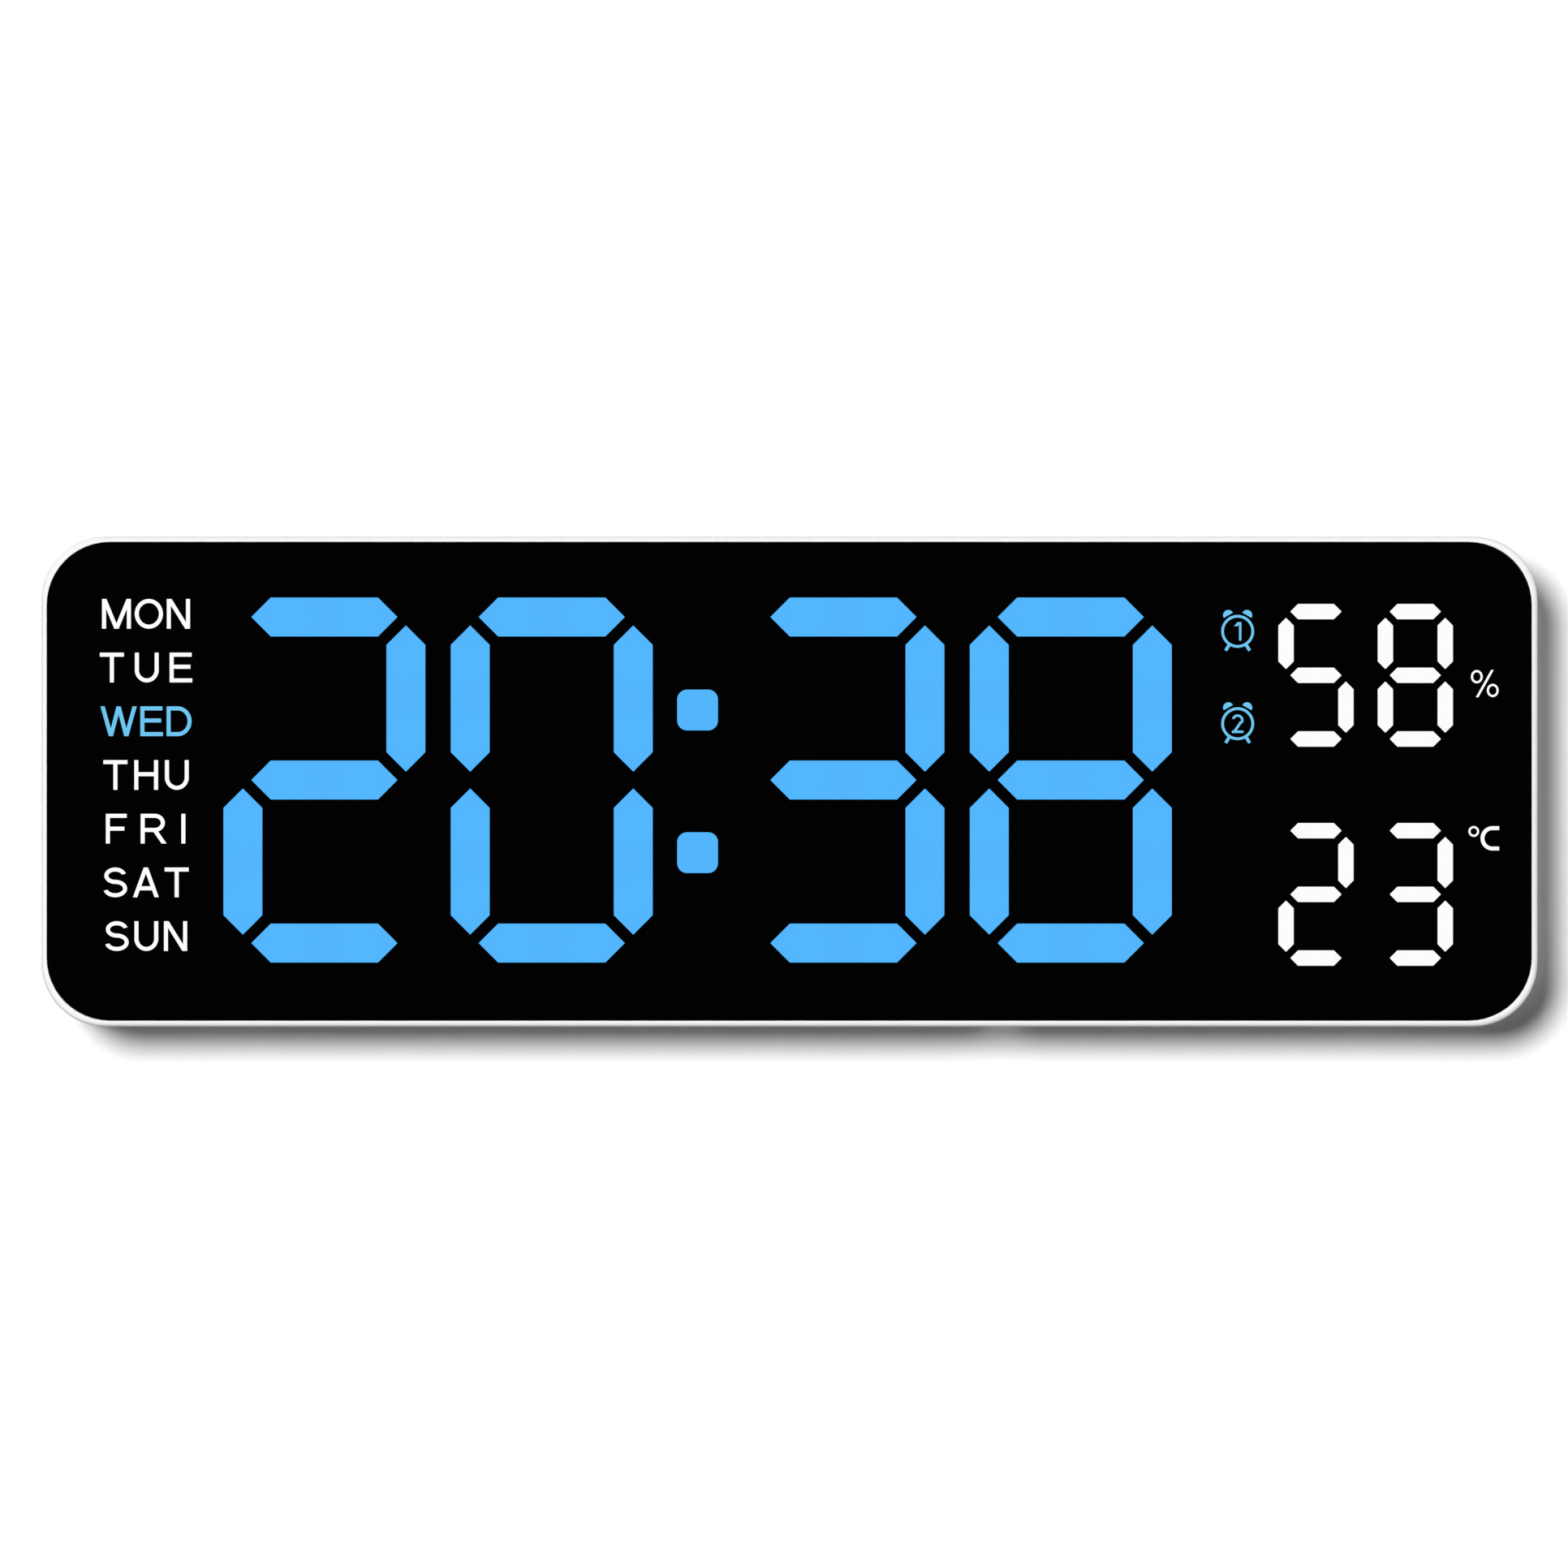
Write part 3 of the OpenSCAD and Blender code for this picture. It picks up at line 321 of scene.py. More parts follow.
@dataclass(frozen=True)
class MouldedPlastic(Finish):
    """Satin plastic from a finely eroded mould, a little uneven over its width."""

    tone: Tone
    roughness: float = 0.42
    grain: float = 0.3
    depth: float = 9.0
    soft_edge: float = 0.18
    strength: float = 0.5
    cloud: float = 34.0
    cloud_shade: float = 0.965
    cloud_share: float = 0.7
    grain_share: float = 0.3
    cloud_dull: float = 0.07
    grain_dull: float = 0.05
    index: float = 1.53

    def surface(self, graph: Graph) -> Wire:
        """Builds cloudy tone, grain and softened edges.

        Args:
            graph: The material's empty tree.

        Returns:
            The shader's output.
        """
        place = graph.place()
        cloud = graph.noise(place, self.cloud)
        grain = graph.noise(place, self.grain, detail=3.0)
        even = self.roughness - (self.cloud_dull + self.grain_dull) / 2
        return graph.node("ShaderNodeBsdfPrincipled", {}, {
            "Base Color": graph.mix(shade(self.tone, self.cloud_shade), self.tone,
                                    cloud * self.cloud_share + grain * self.grain_share),
            "Roughness": even + cloud * self.cloud_dull + grain * self.grain_dull,
            "Normal": graph.relief(grain, self.depth, self.strength, self.soft_edge),
            "IOR": self.index,
        })


@dataclass(frozen=True)
class GlossFace(Finish):
    """Black acrylic sheet with a faint wave and the haze of handling."""

    tone: Tone
    roughness: float
    mirror: float
    haze: float = 18.0
    haze_lift: float = 1.6
    haze_dull: float = 0.08
    wave: float = 9.0
    wave_depth: float = 6.0
    wave_strength: float = 0.25
    index: float = 1.49

    def surface(self, graph: Graph) -> Wire:
        """Builds the haze and the wave.

        Args:
            graph: The material's empty tree.

        Returns:
            The shader's output.
        """
        place = graph.place()
        haze = graph.noise(place, self.haze, detail=4.0)
        wave = graph.noise(place, self.wave, detail=1.0)
        return graph.node("ShaderNodeBsdfPrincipled", {}, {
            "Base Color": graph.mix(self.tone, shade(self.tone, self.haze_lift), haze),
            "Roughness": self.roughness + haze * haze * self.haze_dull,
            "Normal": graph.relief(wave, self.wave_depth, self.wave_strength),
            "IOR": self.index,
            "Specular IOR Level": self.mirror,
        })


@dataclass(frozen=True)
class LitDiffuser(Finish):
    """Milky diffuser lit from behind, brightest over its lamps.

    A piece that carries the attribute bar_place gets one bright spot at both lamps of each bar.
    """

    light: Light
    lamp_offset: float = 5.7
    fade: float = 6.0
    away_share: float = 0.6
    grain: float = 0.5
    grain_share: float = 0.4
    dimmest: float = 0.955
    black: float = 0.008
    tint: float = 0.02
    speck: float = 0.8
    roughness: float = 0.3
    grain_dull: float = 0.1
    mirror: float = 0.2

    def surface(self, graph: Graph) -> Wire:
        """Builds the glow with its lamps and the diffuser's grain.

        Args:
            graph: The material's empty tree.

        Returns:
            The shader's output.
        """
        along, across, _ = graph.axes(
            graph.node("ShaderNodeAttribute", {"attribute_name": "bar_place"}).out("Vector"))
        from_lamp = (abs(along) - self.lamp_offset * MM) / (self.fade * MM)
        aside = across / (self.fade * MM)
        grain = graph.noise(graph.place(), self.grain)
        away = from_lamp * from_lamp + aside * aside
        body = tuple(self.black + self.tint * part for part in self.light.value)
        core = tuple(part - back for part, back in zip(self.light.value, body))
        return graph.node("ShaderNodeBsdfPrincipled", {}, {
            "Base Color": graph.mix(body, shade(body, self.speck), grain),
            "Roughness": self.roughness + grain * self.grain_dull,
            "Emission Color": graph.mix(core, shade(core, self.dimmest),
                                        away * self.away_share + grain * self.grain_share),
            "Emission Strength": 1.0,
            "Specular IOR Level": self.mirror,
        })


@dataclass(frozen=True)
class PlatedMetal(Finish):
    """Bright plated metal with fine rolling marks and dull patches."""

    tone: Tone
    roughness: float = 0.24
    mark: float = 0.12
    mark_squeeze: float = 0.08
    mark_share: float = 0.4
    mark_depth: float = 3.0
    strength: float = 0.4
    soft_edge: float = 0.08
    patch: float = 2.4
    patch_share: float = 0.6
    patch_shade: float = 0.8
    patch_dull: float = 0.14

    def surface(self, graph: Graph) -> Wire:
        """Builds the rolling marks and the dull patches.

        Args:
            graph: The material's empty tree.

        Returns:
            The shader's output.
        """
        place = graph.place()
        stretched = graph.node("ShaderNodeMapping", {}, {
            "Vector": place, "Scale": (self.mark_squeeze, 1.0, 1.0)})
        marks = graph.noise(stretched, self.mark, detail=3.0)
        patches = graph.noise(place, self.patch)
        return graph.node("ShaderNodeBsdfPrincipled", {}, {
            "Base Color": graph.mix(shade(self.tone, self.patch_shade), self.tone,
                                    patches * self.patch_share + marks * self.mark_share),
            "Roughness": self.roughness + patches * self.patch_dull,
            "Metallic": 1.0,
            "Normal": graph.relief(marks, self.mark_depth, self.strength, self.soft_edge),
        })


@dataclass(frozen=True)
class SolderMask(Finish):
    """Circuit board with its mask, copper runs under it and tinned pads."""

    mask: Tone = (0.012, 0.105, 0.038)
    run: Tone = (0.02, 0.19, 0.066)
    tin: Tone = (0.62, 0.62, 0.6)
    pitch: float = 2.54
    scatter: float = 0.6
    bend: float = 6.0
    lanes: float = 9.0
    lane_start: float = 0.45
    lane_end: float = 0.95
    pad_reach: float = 0.09
    pad_metal: float = 0.9
    pad_polish: float = 0.1
    roughness: float = 0.34
    bend_dull: float = 0.08
    depth: float = 30.0
    strength: float = 0.5

    def surface(self, graph: Graph) -> Wire:
        """Builds runs between the rows of pads.

        Args:
            graph: The material's empty tree.

        Returns:
            The shader's output.
        """
        place = graph.place()
        cells = graph.node("ShaderNodeTexVoronoi", {"feature": "F1", "distance": "CHEBYCHEV"}, {
            "Vector": place, "Scale": 1 / (2 * self.pitch * MM), "Randomness": self.scatter})
        distance = cells.out("Distance")
        bent = graph.noise(place, self.bend)
        lanes = graph.math("FRACT", distance * self.lanes + bent)
        runs = (lanes > self.lane_start) * (lanes < self.lane_end)
        pads = distance < self.pad_reach
        return graph.node("ShaderNodeBsdfPrincipled", {}, {
            "Base Color": graph.mix(graph.mix(self.mask, self.run, runs), self.tin, pads),
            "Roughness": self.roughness - pads * self.pad_polish + bent * self.bend_dull,
            "Metallic": pads * self.pad_metal,
            "Normal": graph.relief(runs + pads, self.depth, self.strength),
        })


@dataclass(frozen=True)
class FillerResin(Finish):
    """Filled resin or foam: dull, with grains or pores of a given size."""

    tone: Tone
    speck: Tone
    grain: float
    roughness: float
    depth: float = 12.0
    strength: float = 0.5
    soft_edge: float = 0.08
    speck_share: float = 0.6
    speck_dull: float = 0.1
    cloud: float = 8.0
    cloud_share: float = 0.3

    def surface(self, graph: Graph) -> Wire:
        """Builds the specks and their relief.

        Args:
            graph: The material's empty tree.

        Returns:
            The shader's output.
        """
        place = graph.place()
        specks = graph.noise(place, self.grain, detail=3.0)
        cloud = graph.noise(place, self.cloud)
        return graph.node("ShaderNodeBsdfPrincipled", {}, {
            "Base Color": graph.mix(self.tone, self.speck,
                                    specks * self.speck_share + cloud * self.cloud_share),
            "Roughness": self.roughness + specks * self.speck_dull,
            "Normal": graph.relief(specks, self.depth, self.strength, self.soft_edge),
        })


@dataclass(frozen=True)
class PaleBackdrop(Finish):
    """Matt pale wall and floor that lets the view through from behind."""

    tone: Tone = (0.962, 0.962, 0.963)
    paint: float = 60.0
    paint_shade: float = 0.995

    def surface(self, graph: Graph) -> Wire:
        """Builds the matt paint, and lifts the floor to white for the camera.

        Args:
            graph: The material's empty tree.

        Returns:
            The shader's output.
        """
        paint = graph.noise(graph.place(), self.paint)
        tone = graph.mix(shade(self.tone, self.paint_shade), self.tone, paint)
        matt = graph.node("ShaderNodeBsdfDiffuse", {}, {"Color": tone})
        sheet = graph.node("ShaderNodeNewGeometry")
        _, _, level = graph.axes(sheet.out("Normal"))
        seen = graph.node("ShaderNodeLightPath").out("Is Camera Ray")
        white = graph.node("ShaderNodeEmission", {}, {"Strength": 1.0})
        front = graph.node("ShaderNodeMixShader", {}, {0: level * seen, 1: matt, 2: white})
        clear = graph.node("ShaderNodeBsdfTransparent")
        return graph.node("ShaderNodeMixShader", {}, {0: sheet.out("Backfacing"), 1: front, 2: clear})


@dataclass(frozen=True)
class DarkCard(Finish):
    """Matt black card that keeps the face's mirror image dark."""

    def surface(self, graph: Graph) -> Wire:
        """Builds a black that gives no light back."""
        return graph.node("ShaderNodeEmission", {}, {"Color": (0.0, 0.0, 0.0, 1.0), "Strength": 0.0})


WHITE_CASE = MouldedPlastic("moulded_white", (0.92, 0.924, 0.922))
WHITE_REAR = MouldedPlastic("moulded_white_rear", (0.92, 0.924, 0.922), roughness=0.5, grain=0.9,
                            depth=160.0)
WHITE_FOOT = MouldedPlastic("moulded_white_foot", (0.9, 0.905, 0.905), roughness=0.46)
KEY_GREY = MouldedPlastic("moulded_key_grey", (0.56, 0.57, 0.58), roughness=0.36, grain=0.25, depth=6.0,
                          soft_edge=0.3)
PLUNGER_GREY = MouldedPlastic("moulded_plunger", (0.06, 0.06, 0.065), roughness=0.4)
FACE_BLACK = GlossFace("gloss_face", (0.0004, 0.0004, 0.0005), roughness=0.05, mirror=0.2)
DARK_LENS = GlossFace("smoked_lens", (0.0005, 0.0005, 0.0006), roughness=0.06, mirror=0.23)
BLUE_BAR = LitDiffuser("lit_blue", Light.BLUE)
PALE_SIGN = LitDiffuser("lit_pale_blue", Light.PALE_BLUE)
WHITE_BAR = LitDiffuser("lit_white", Light.WHITE, lamp_offset=0.0, fade=5.0)
BRIGHT_PLATE = PlatedMetal("plated_bright", (0.78, 0.77, 0.74))
ZINC_STEEL = PlatedMetal("zinc_steel", (0.62, 0.63, 0.66), roughness=0.3)
CIRCUIT_GREEN = SolderMask("solder_mask_green")
CHIP_RESIN = FillerResin("chip_resin", (0.012, 0.012, 0.013), (0.035, 0.035, 0.036), grain=0.12,
                         roughness=0.5)
LED_RESIN = FillerResin("lamp_resin", (0.72, 0.62, 0.3), (0.85, 0.8, 0.62), grain=0.2, roughness=0.35,
                        depth=5.0)
REFLECTOR_WHITE = FillerResin("milky_reflector", (0.84, 0.84, 0.83), (0.9, 0.9, 0.9), grain=0.4,
                              roughness=0.55)
TAPE_FOAM = FillerResin("tape_foam", (0.01, 0.01, 0.01), (0.04, 0.04, 0.04), grain=0.15, roughness=0.8,
                        depth=30.0)
PAD_RUBBER = FillerResin("pad_rubber", (0.03, 0.03, 0.032), (0.075, 0.075, 0.078), grain=0.35, roughness=0.7,
                         depth=25.0)
MARK_INK = FillerResin("mark_ink", (0.055, 0.057, 0.06), (0.075, 0.077, 0.08), grain=0.1, roughness=0.6,
                       depth=3.0)


def add_piece(name: str, mesh: bpy.types.Mesh, finish: Finish, body: str,
              stands_for: Iterable[str] = ()) -> None:
    """Adds a finished piece to the object.

    Args:
        name: The piece's name.
        mesh: Its mesh, in place.
        finish: What covers it.
        body: The body that it moves with.
        stands_for: The nodes that it shows instead of.
    """
    piece = bpy.data.objects.new(name, mesh)
    bpy.context.scene.collection.objects.link(piece)
    mesh.materials.clear()
    mesh.materials.append(finish.material())
    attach(piece, body)
    if stands_for:
        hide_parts(*stands_for)
    LOG.info("piece %s on %s", name, body)


def dress(finish: Finish, *nodes: str) -> None:
    """Gives nodes of the frame their finish.

    Args:
        finish: What covers them.
        nodes: The nodes' names.
    """
    for node in nodes:
        mesh = frame["nodes"][node].data
        mesh.materials.clear()
        mesh.materials.append(finish.material())
        LOG.info("node %s in %s", node, finish.name)


def reading_order(box: Box, row_digits: int = 5) -> Point:
    """Ranks boxes from the top row, whose heights agree to some decimals, down and from left to right."""
    doubled = box[0] + box[1]
    return -round(doubled.z, row_digits), doubled.x


def solids_of(node: str) -> list[Box]:
    """Finds the separate solids of a node.

    Args:
        node: The node's name.

    Returns:
        The lowest and highest corner of each solid in metres, in reading order.
    """
    shape = bmesh.new()
    shape.from_mesh(frame["nodes"][node].data)
    bmesh.ops.remove_doubles(shape, verts=shape.verts, dist=MICRON)
    waiting = set(shape.verts)
    boxes = []
    while waiting:
        reached = [waiting.pop()]
        for vertex in reached:
            near = {edge.other_vert(vertex) for edge in vertex.link_edges} & waiting
            waiting -= near
            reached.extend(near)
        low, high = (Vector(pick(v.co[axis] for v in reached) for axis in range(3)) for pick in (min, max))
        boxes.append((low, high))
    shape.free()
    return sorted(boxes, key=reading_order)


def polar(length: float, angle: float) -> Point:
    """Gives the point at a distance and at an angle in degrees, anticlockwise from the right."""
    return length * math.cos(math.radians(angle)), length * math.sin(math.radians(angle))


@dataclass
class Sketch:
    """A flat drawing of overlapping outlines that becomes one thin plate."""

    outlines: list[list[Point]] = field(default_factory=list)
    curve_step: ClassVar[float] = 7.5
    fewest_steps: ClassVar[int] = 3
    weld: ClassVar[float] = 0.00001
    hull_triangles: ClassVar[int] = 0

    def area(self, points: Iterable[Point]) -> None:
        """Adds a filled outline, turned to run anticlockwise.

        Args:
            points: Its corners in order.
        """
        points = list(points)
        doubled = sum(x * v - u * y for (x, y), (u, v) in zip(points, points[1:] + points[:1]))
        self.outlines.append(points if doubled > 0 else points[::-1])

    def bar(self, start: Point, end: Point, pen: float, reach: float = 0.0) -> None:
        """Adds a straight stroke with square ends.

        Args:
            start: Middle of one end.
            end: Middle of the other end.
            pen: Width of the stroke.
            reach: Length added at both ends.
        """
        run = (Vector(end) - Vector(start)).normalized()
        aside = Vector((-run.y, run.x)) * (pen / 2)
        first, last = Vector(start) - run * reach, Vector(end) + run * reach
        self.area([tuple(p) for p in (first + aside, first - aside, last - aside, last + aside)])

    def slant(self, start: Point, end: Point, across: float) -> None:
        """Adds a leaning stroke that is cut level at both ends.

        Args:
            start: Middle of one end.
            end: Middle of the other end.
            across: Level width of the stroke.
        """
        half = across / 2
        self.area([(start[0] - half, start[1]), (start[0] + half, start[1]),
                   (end[0] + half, end[1]), (end[0] - half, end[1])])

    def arc(self, centre: Point, radii: Point, pen: float, start: float = 0.0, end: float = 360.0) -> None:
        """Adds a curved stroke.

        Args:
            centre: Centre of the curve.
            radii: Level and upright radius of the stroke's middle line.
            pen: Width of the stroke.
            start: First angle in degrees, anticlockwise from the right.
            end: Last angle in degrees.
        """
        halves = ((start, (start + end) / 2), ((start + end) / 2, end))
        for first, last in halves:
            outer = self.curve(centre, radii, first, last, pen / 2)
            inner = self.curve(centre, radii, first, last, -pen / 2)
            self.area(outer + inner[::-1])

    def pad(self, centre: Point, size: Point, corner: float) -> None:
        """Adds a filled rectangle with round corners.

        Args:
            centre: Its middle.
            size: Its width and height.
            corner: Radius of its corners.
        """
        reach = [length / 2 - corner for length in size]
        points = []
        for turn, (right, up) in enumerate(((1, 1), (-1, 1), (-1, -1), (1, -1))):
            middle = (centre[0] + right * reach[0], centre[1] + up * reach[1])
            points += self.curve(middle, (corner, corner), 90 * turn, 90 * turn + 90)
        self.area(points)

    def segment(self, centre: Point, radius: float, start: float, end: float) -> None:
        """Adds the part of a disc between two angles in degrees, closed by its chord."""
        self.area(self.curve(centre, (radius, radius), start, end))

    def disc(self, centre: Point, radius: float) -> None:
        """Adds a whole disc."""
        self.area(self.curve(centre, (radius, radius), 0, 360)[:-1])

    def curve(self, centre: Point, radii: Point, start: float, end: float, grow: float = 0.0) -> list[Point]:
        """Works out points along an ellipse.

        Args:
            centre: Centre of the ellipse.
            radii: Level and upright radius.
            start: First angle in degrees.
            end: Last angle in degrees.
            grow: Amount added to both radii.

        Returns:
            The points, both ends included.
        """
        steps = max(self.fewest_steps, round(abs(end - start) / self.curve_step))
        angles = [math.radians(start + (end - start) * step / steps) for step in range(steps + 1)]
        return [(centre[0] + (radii[0] + grow) * math.cos(a), centre[1] + (radii[1] + grow) * math.sin(a))
                for a in angles]

    def plate(self, name: str, low: float, high: float, side: Side, spot: Vector) -> bpy.types.Mesh:
        """Joins all outlines into one closed plate and stands it on its surface.

        Args:
            name: The mesh's name.
            low: Level of the plate's underside above the surface.
            high: Level of its top.
            side: The surface that it lies on.
            spot: The drawing's middle in the shared frame, in metres.

        Returns:
            The mesh in place.
        """
        points = [Vector(point) for outline in self.outlines for point in outline]
        rings, first = [], 0
        for outline in self.outlines:
            rings.append(list(range(first, first + len(outline))))
            first += len(outline)
        corners, _, cells, _, _, sources = delaunay_2d_cdt(points, [], rings, self.hull_triangles, self.weld)
        kept = [cell for cell, source in zip(cells, sources) if source]
        shape = bmesh.new()
        lower = [shape.verts.new((x, y, low)) for x, y in corners]
        upper = [shape.verts.new((x, y, high)) for x, y in corners]
        sides = {(cell[i - 1], cell[i]) for cell in kept for i in range(len(cell))}
        for cell in kept:
            shape.faces.new([upper[i] for i in cell])
            shape.faces.new([lower[i] for i in reversed(cell)])
        for a, b in sides:
            if (b, a) not in sides:
                shape.faces.new((lower[a], lower[b], upper[b], upper[a]))
        bmesh.ops.delete(shape, geom=[v for v in shape.verts if not v.link_faces], context="VERTS")
        shape.transform(Matrix.Translation(spot) @ side.value @ Matrix.Scale(MM, 4))
        mesh = bpy.data.meshes.new(name)
        shape.to_mesh(mesh)
        shape.free()
        return mesh


@dataclass(frozen=True)
class Stroke:
    """A straight stroke of a letter, in shares of the letter's width and height."""

    start: Point
    end: Point


@dataclass(frozen=True)
class Curve:
    """A curved stroke of a letter, in shares of the letter's width and height, between two angles."""

    centre: Point
    radii: Point
    start: float
    end: float


@dataclass(frozen=True)
class Glyph:
    """The width of a letter in cap heights, and its strokes."""

    width: float
    strokes: tuple[Stroke | Curve, ...]


LEFT_STEM = Stroke((0, 0), (0, 1))
RIGHT_STEM = Stroke((1, 0), (1, 1))
MIDDLE_STEM = Stroke((0.5, 0), (0.5, 1))
HEAD_BAR = Stroke((0, 1), (1, 1))
FOOT_BAR = Stroke((0, 0), (1, 0))
GLYPHS = {
    "A": Glyph(0.87, (Stroke((0, 0), (0.5, 1)), Stroke((1, 0), (0.5, 1)),
                      Stroke((0.28, 0.27), (0.72, 0.27)))),
    "D": Glyph(0.84, (LEFT_STEM, Stroke((0, 1), (0.4, 1)), Stroke((0, 0), (0.4, 0)),
                      Curve((0.44, 0.5), (0.56, 0.5), -90, 90))),
    "E": Glyph(0.76, (LEFT_STEM, Stroke((0, 1), (0.97, 1)), Stroke((0, 0.53), (0.9, 0.53)), FOOT_BAR)),
    "F": Glyph(0.7, (LEFT_STEM, HEAD_BAR, Stroke((0, 0.5), (0.86, 0.5)))),
    "H": Glyph(0.8, (LEFT_STEM, RIGHT_STEM, Stroke((0, 0.53), (1, 0.53)))),
    "I": Glyph(0.187, (MIDDLE_STEM,)),
    "M": Glyph(0.97, (LEFT_STEM, RIGHT_STEM, Stroke((0, 1), (0.5, 0)), Stroke((1, 1), (0.5, 0)))),
    "N": Glyph(0.78, (LEFT_STEM, RIGHT_STEM, Stroke((0, 1), (1, 0)))),
    "O": Glyph(0.95, (Curve((0.5, 0.5), (0.5, 0.5), 0, 360),)),
    "R": Glyph(0.87, (LEFT_STEM, Stroke((0, 1), (0.5, 1)), Stroke((0, 0.45), (0.5, 0.45)),
                      Curve((0.55, 0.725), (0.37, 0.275), -90, 90), Stroke((0.5, 0.5), (1, 0)))),
    "S": Glyph(0.8, (Curve((0.5, 0.76), (0.45, 0.24), 15, 270), Curve((0.5, 0.26), (0.5, 0.26), -165, 90))),
    "T": Glyph(0.81, (HEAD_BAR, MIDDLE_STEM)),
    "U": Glyph(0.8, (Stroke((0, 0.38), (0, 1)), Stroke((1, 0.38), (1, 1)),
                     Curve((0.5, 0.4), (0.5, 0.4), 180, 360))),
    "W": Glyph(1.22, (Stroke((0, 1), (0.26, 0)), Stroke((0.5, 1), (0.26, 0)), Stroke((0.5, 1), (0.74, 0)),
                      Stroke((1, 1), (0.74, 0)))),
    "1": Glyph(0.4, (RIGHT_STEM, Stroke((0, 0.78), (1, 1)))),
    "2": Glyph(0.62, (Curve((0.5, 0.72), (0.5, 0.28), -30, 165), Stroke((0, 0), (0.93, 0.62)), FOOT_BAR)),
}


@dataclass(frozen=True)
class Lettering:
    """Plain upright capitals and figures drawn with one pen."""

    cap: float
    pen: float

    def width(self, letter: str) -> float:
        """Gives the letter's width."""
        return GLYPHS[letter].width * self.cap

    def draw(self, sketch: Sketch, letter: str, left: float, base: float) -> None:
        """Draws one letter.

        Args:
            sketch: The drawing.
            letter: Which letter.
            left: Its left edge.
            base: The line that it stands on.
        """
        width, half = self.width(letter), self.pen / 2
        inner_w, inner_h = width - self.pen, self.cap - self.pen

        def spot(share: Point) -> Point:
            """Finds a point on the pen's own path."""
            return left + half + share[0] * inner_w, base + half + share[1] * inner_h

        for stroke in GLYPHS[letter].strokes:
            if isinstance(stroke, Curve):
                radii = (stroke.radii[0] * inner_w, stroke.radii[1] * inner_h)
                sketch.arc(spot(stroke.centre), radii, self.pen, stroke.start, stroke.end)
            elif stroke.start[0] == stroke.end[0] or stroke.start[1] == stroke.end[1]:
                sketch.bar(spot(stroke.start), spot(stroke.end), self.pen, half)
            else:
                self.lean(sketch, stroke, left, base, width)

    def lean(self, sketch: Sketch, stroke: Stroke, left: float, base: float, width: float) -> None:
        """Draws a leaning stroke out to the letter's own edges.

        Args:
            sketch: The drawing.
            stroke: The stroke.
            left: The letter's left edge.
            base: The line that it stands on.
            width: The letter's width.
        """
        run = (stroke.end[0] - stroke.start[0]) * (width - self.pen)
        rise = (stroke.end[1] - stroke.start[1]) * self.cap
        across = self.pen * math.hypot(run, rise) / abs(rise)
        ends = [(left + across / 2 + share[0] * (width - across), base + share[1] * self.cap)
                for share in (stroke.start, stroke.end)]
        sketch.slant(*ends, across)

    def word(self, letters: str, width: float) -> Sketch:
        """Spreads a word evenly over a width.

        Args:
            letters: The word.
            width: Distance between the word's two ends.

        Returns:
            The drawing, centred on its own middle.
        """
        sketch = Sketch()
        taken = sum(self.width(letter) for letter in letters)
        gap = (width - taken) / (len(letters) - 1)
        left = -width / 2
        for letter in letters:
            self.draw(sketch, letter, left, -self.cap / 2)
            left += self.width(letter) + gap
        return sketch


@dataclass
class CasingShells:
    """The moulded shells, feet and battery cap, and what shows through their openings."""

    front: tuple[str, ...] = ("front_casing",)
    rear: tuple[str, ...] = ("rear_cover", "battery_cap")
    feet: tuple[str, ...] = ("left_foot", "right_foot")
    buttons: tuple[str, ...] = ("set_button", "up_button", "down_button", "alarm_button")
    plungers: tuple[str, ...] = ("set_plunger", "up_plunger", "down_plunger", "alarm_plunger")

    def dress(self) -> None:
        """Covers the moulded nodes."""
        dress(WHITE_CASE, *self.front)
        dress(WHITE_REAR, *self.rear)
        dress(WHITE_FOOT, *self.feet)
        dress(KEY_GREY, *self.buttons)
        dress(PLUNGER_GREY, *self.plungers)


@dataclass
class FaceSheet:
    """The black face, its tape, the colon and the windows that stay dark."""

    lenses: tuple[str, ...] = ("time_dark_bars", "climate_dark_bars", "weekday_windows", "alarm_windows",
                               "unit_windows")

    def dress(self) -> None:
        """Covers the face's nodes."""
        dress(FACE_BLACK, "front_panel")
        dress(TAPE_FOAM, "panel_tape")
        dress(BLUE_BAR, "colon_dots")
        dress(DARK_LENS, *self.lenses)


@dataclass
class Electronics:
    """Boards, chips, lamps and metal parts inside the casing."""

    boards: tuple[str, ...] = ("display_board", "control_board")
    lamps: tuple[str, ...] = ("time_leds", "climate_leds", "label_leds")
    chips: tuple[str, ...] = ("microcontroller", "led_drivers", "board_socket", "board_header", "buzzer",
                              "switch_bodies", "usb_tongue")
    plated: tuple[str, ...] = ("clock_crystal", "capacitors", "usb_shell", "cell_contact", "cell_clip",
                               "coin_cell")
    screws: tuple[str, ...] = ("display_screws", "control_screws", "case_screws")
    pale: tuple[str, ...] = ("reflector", "climate_sensor")

    def dress(self) -> None:
        """Covers the inner nodes."""
        dress(CIRCUIT_GREEN, *self.boards)
        dress(LED_RESIN, *self.lamps)
        dress(CHIP_RESIN, *self.chips)
        dress(BRIGHT_PLATE, *self.plated)
        dress(ZINC_STEEL, *self.screws)
        dress(REFLECTOR_WHITE, *self.pale)


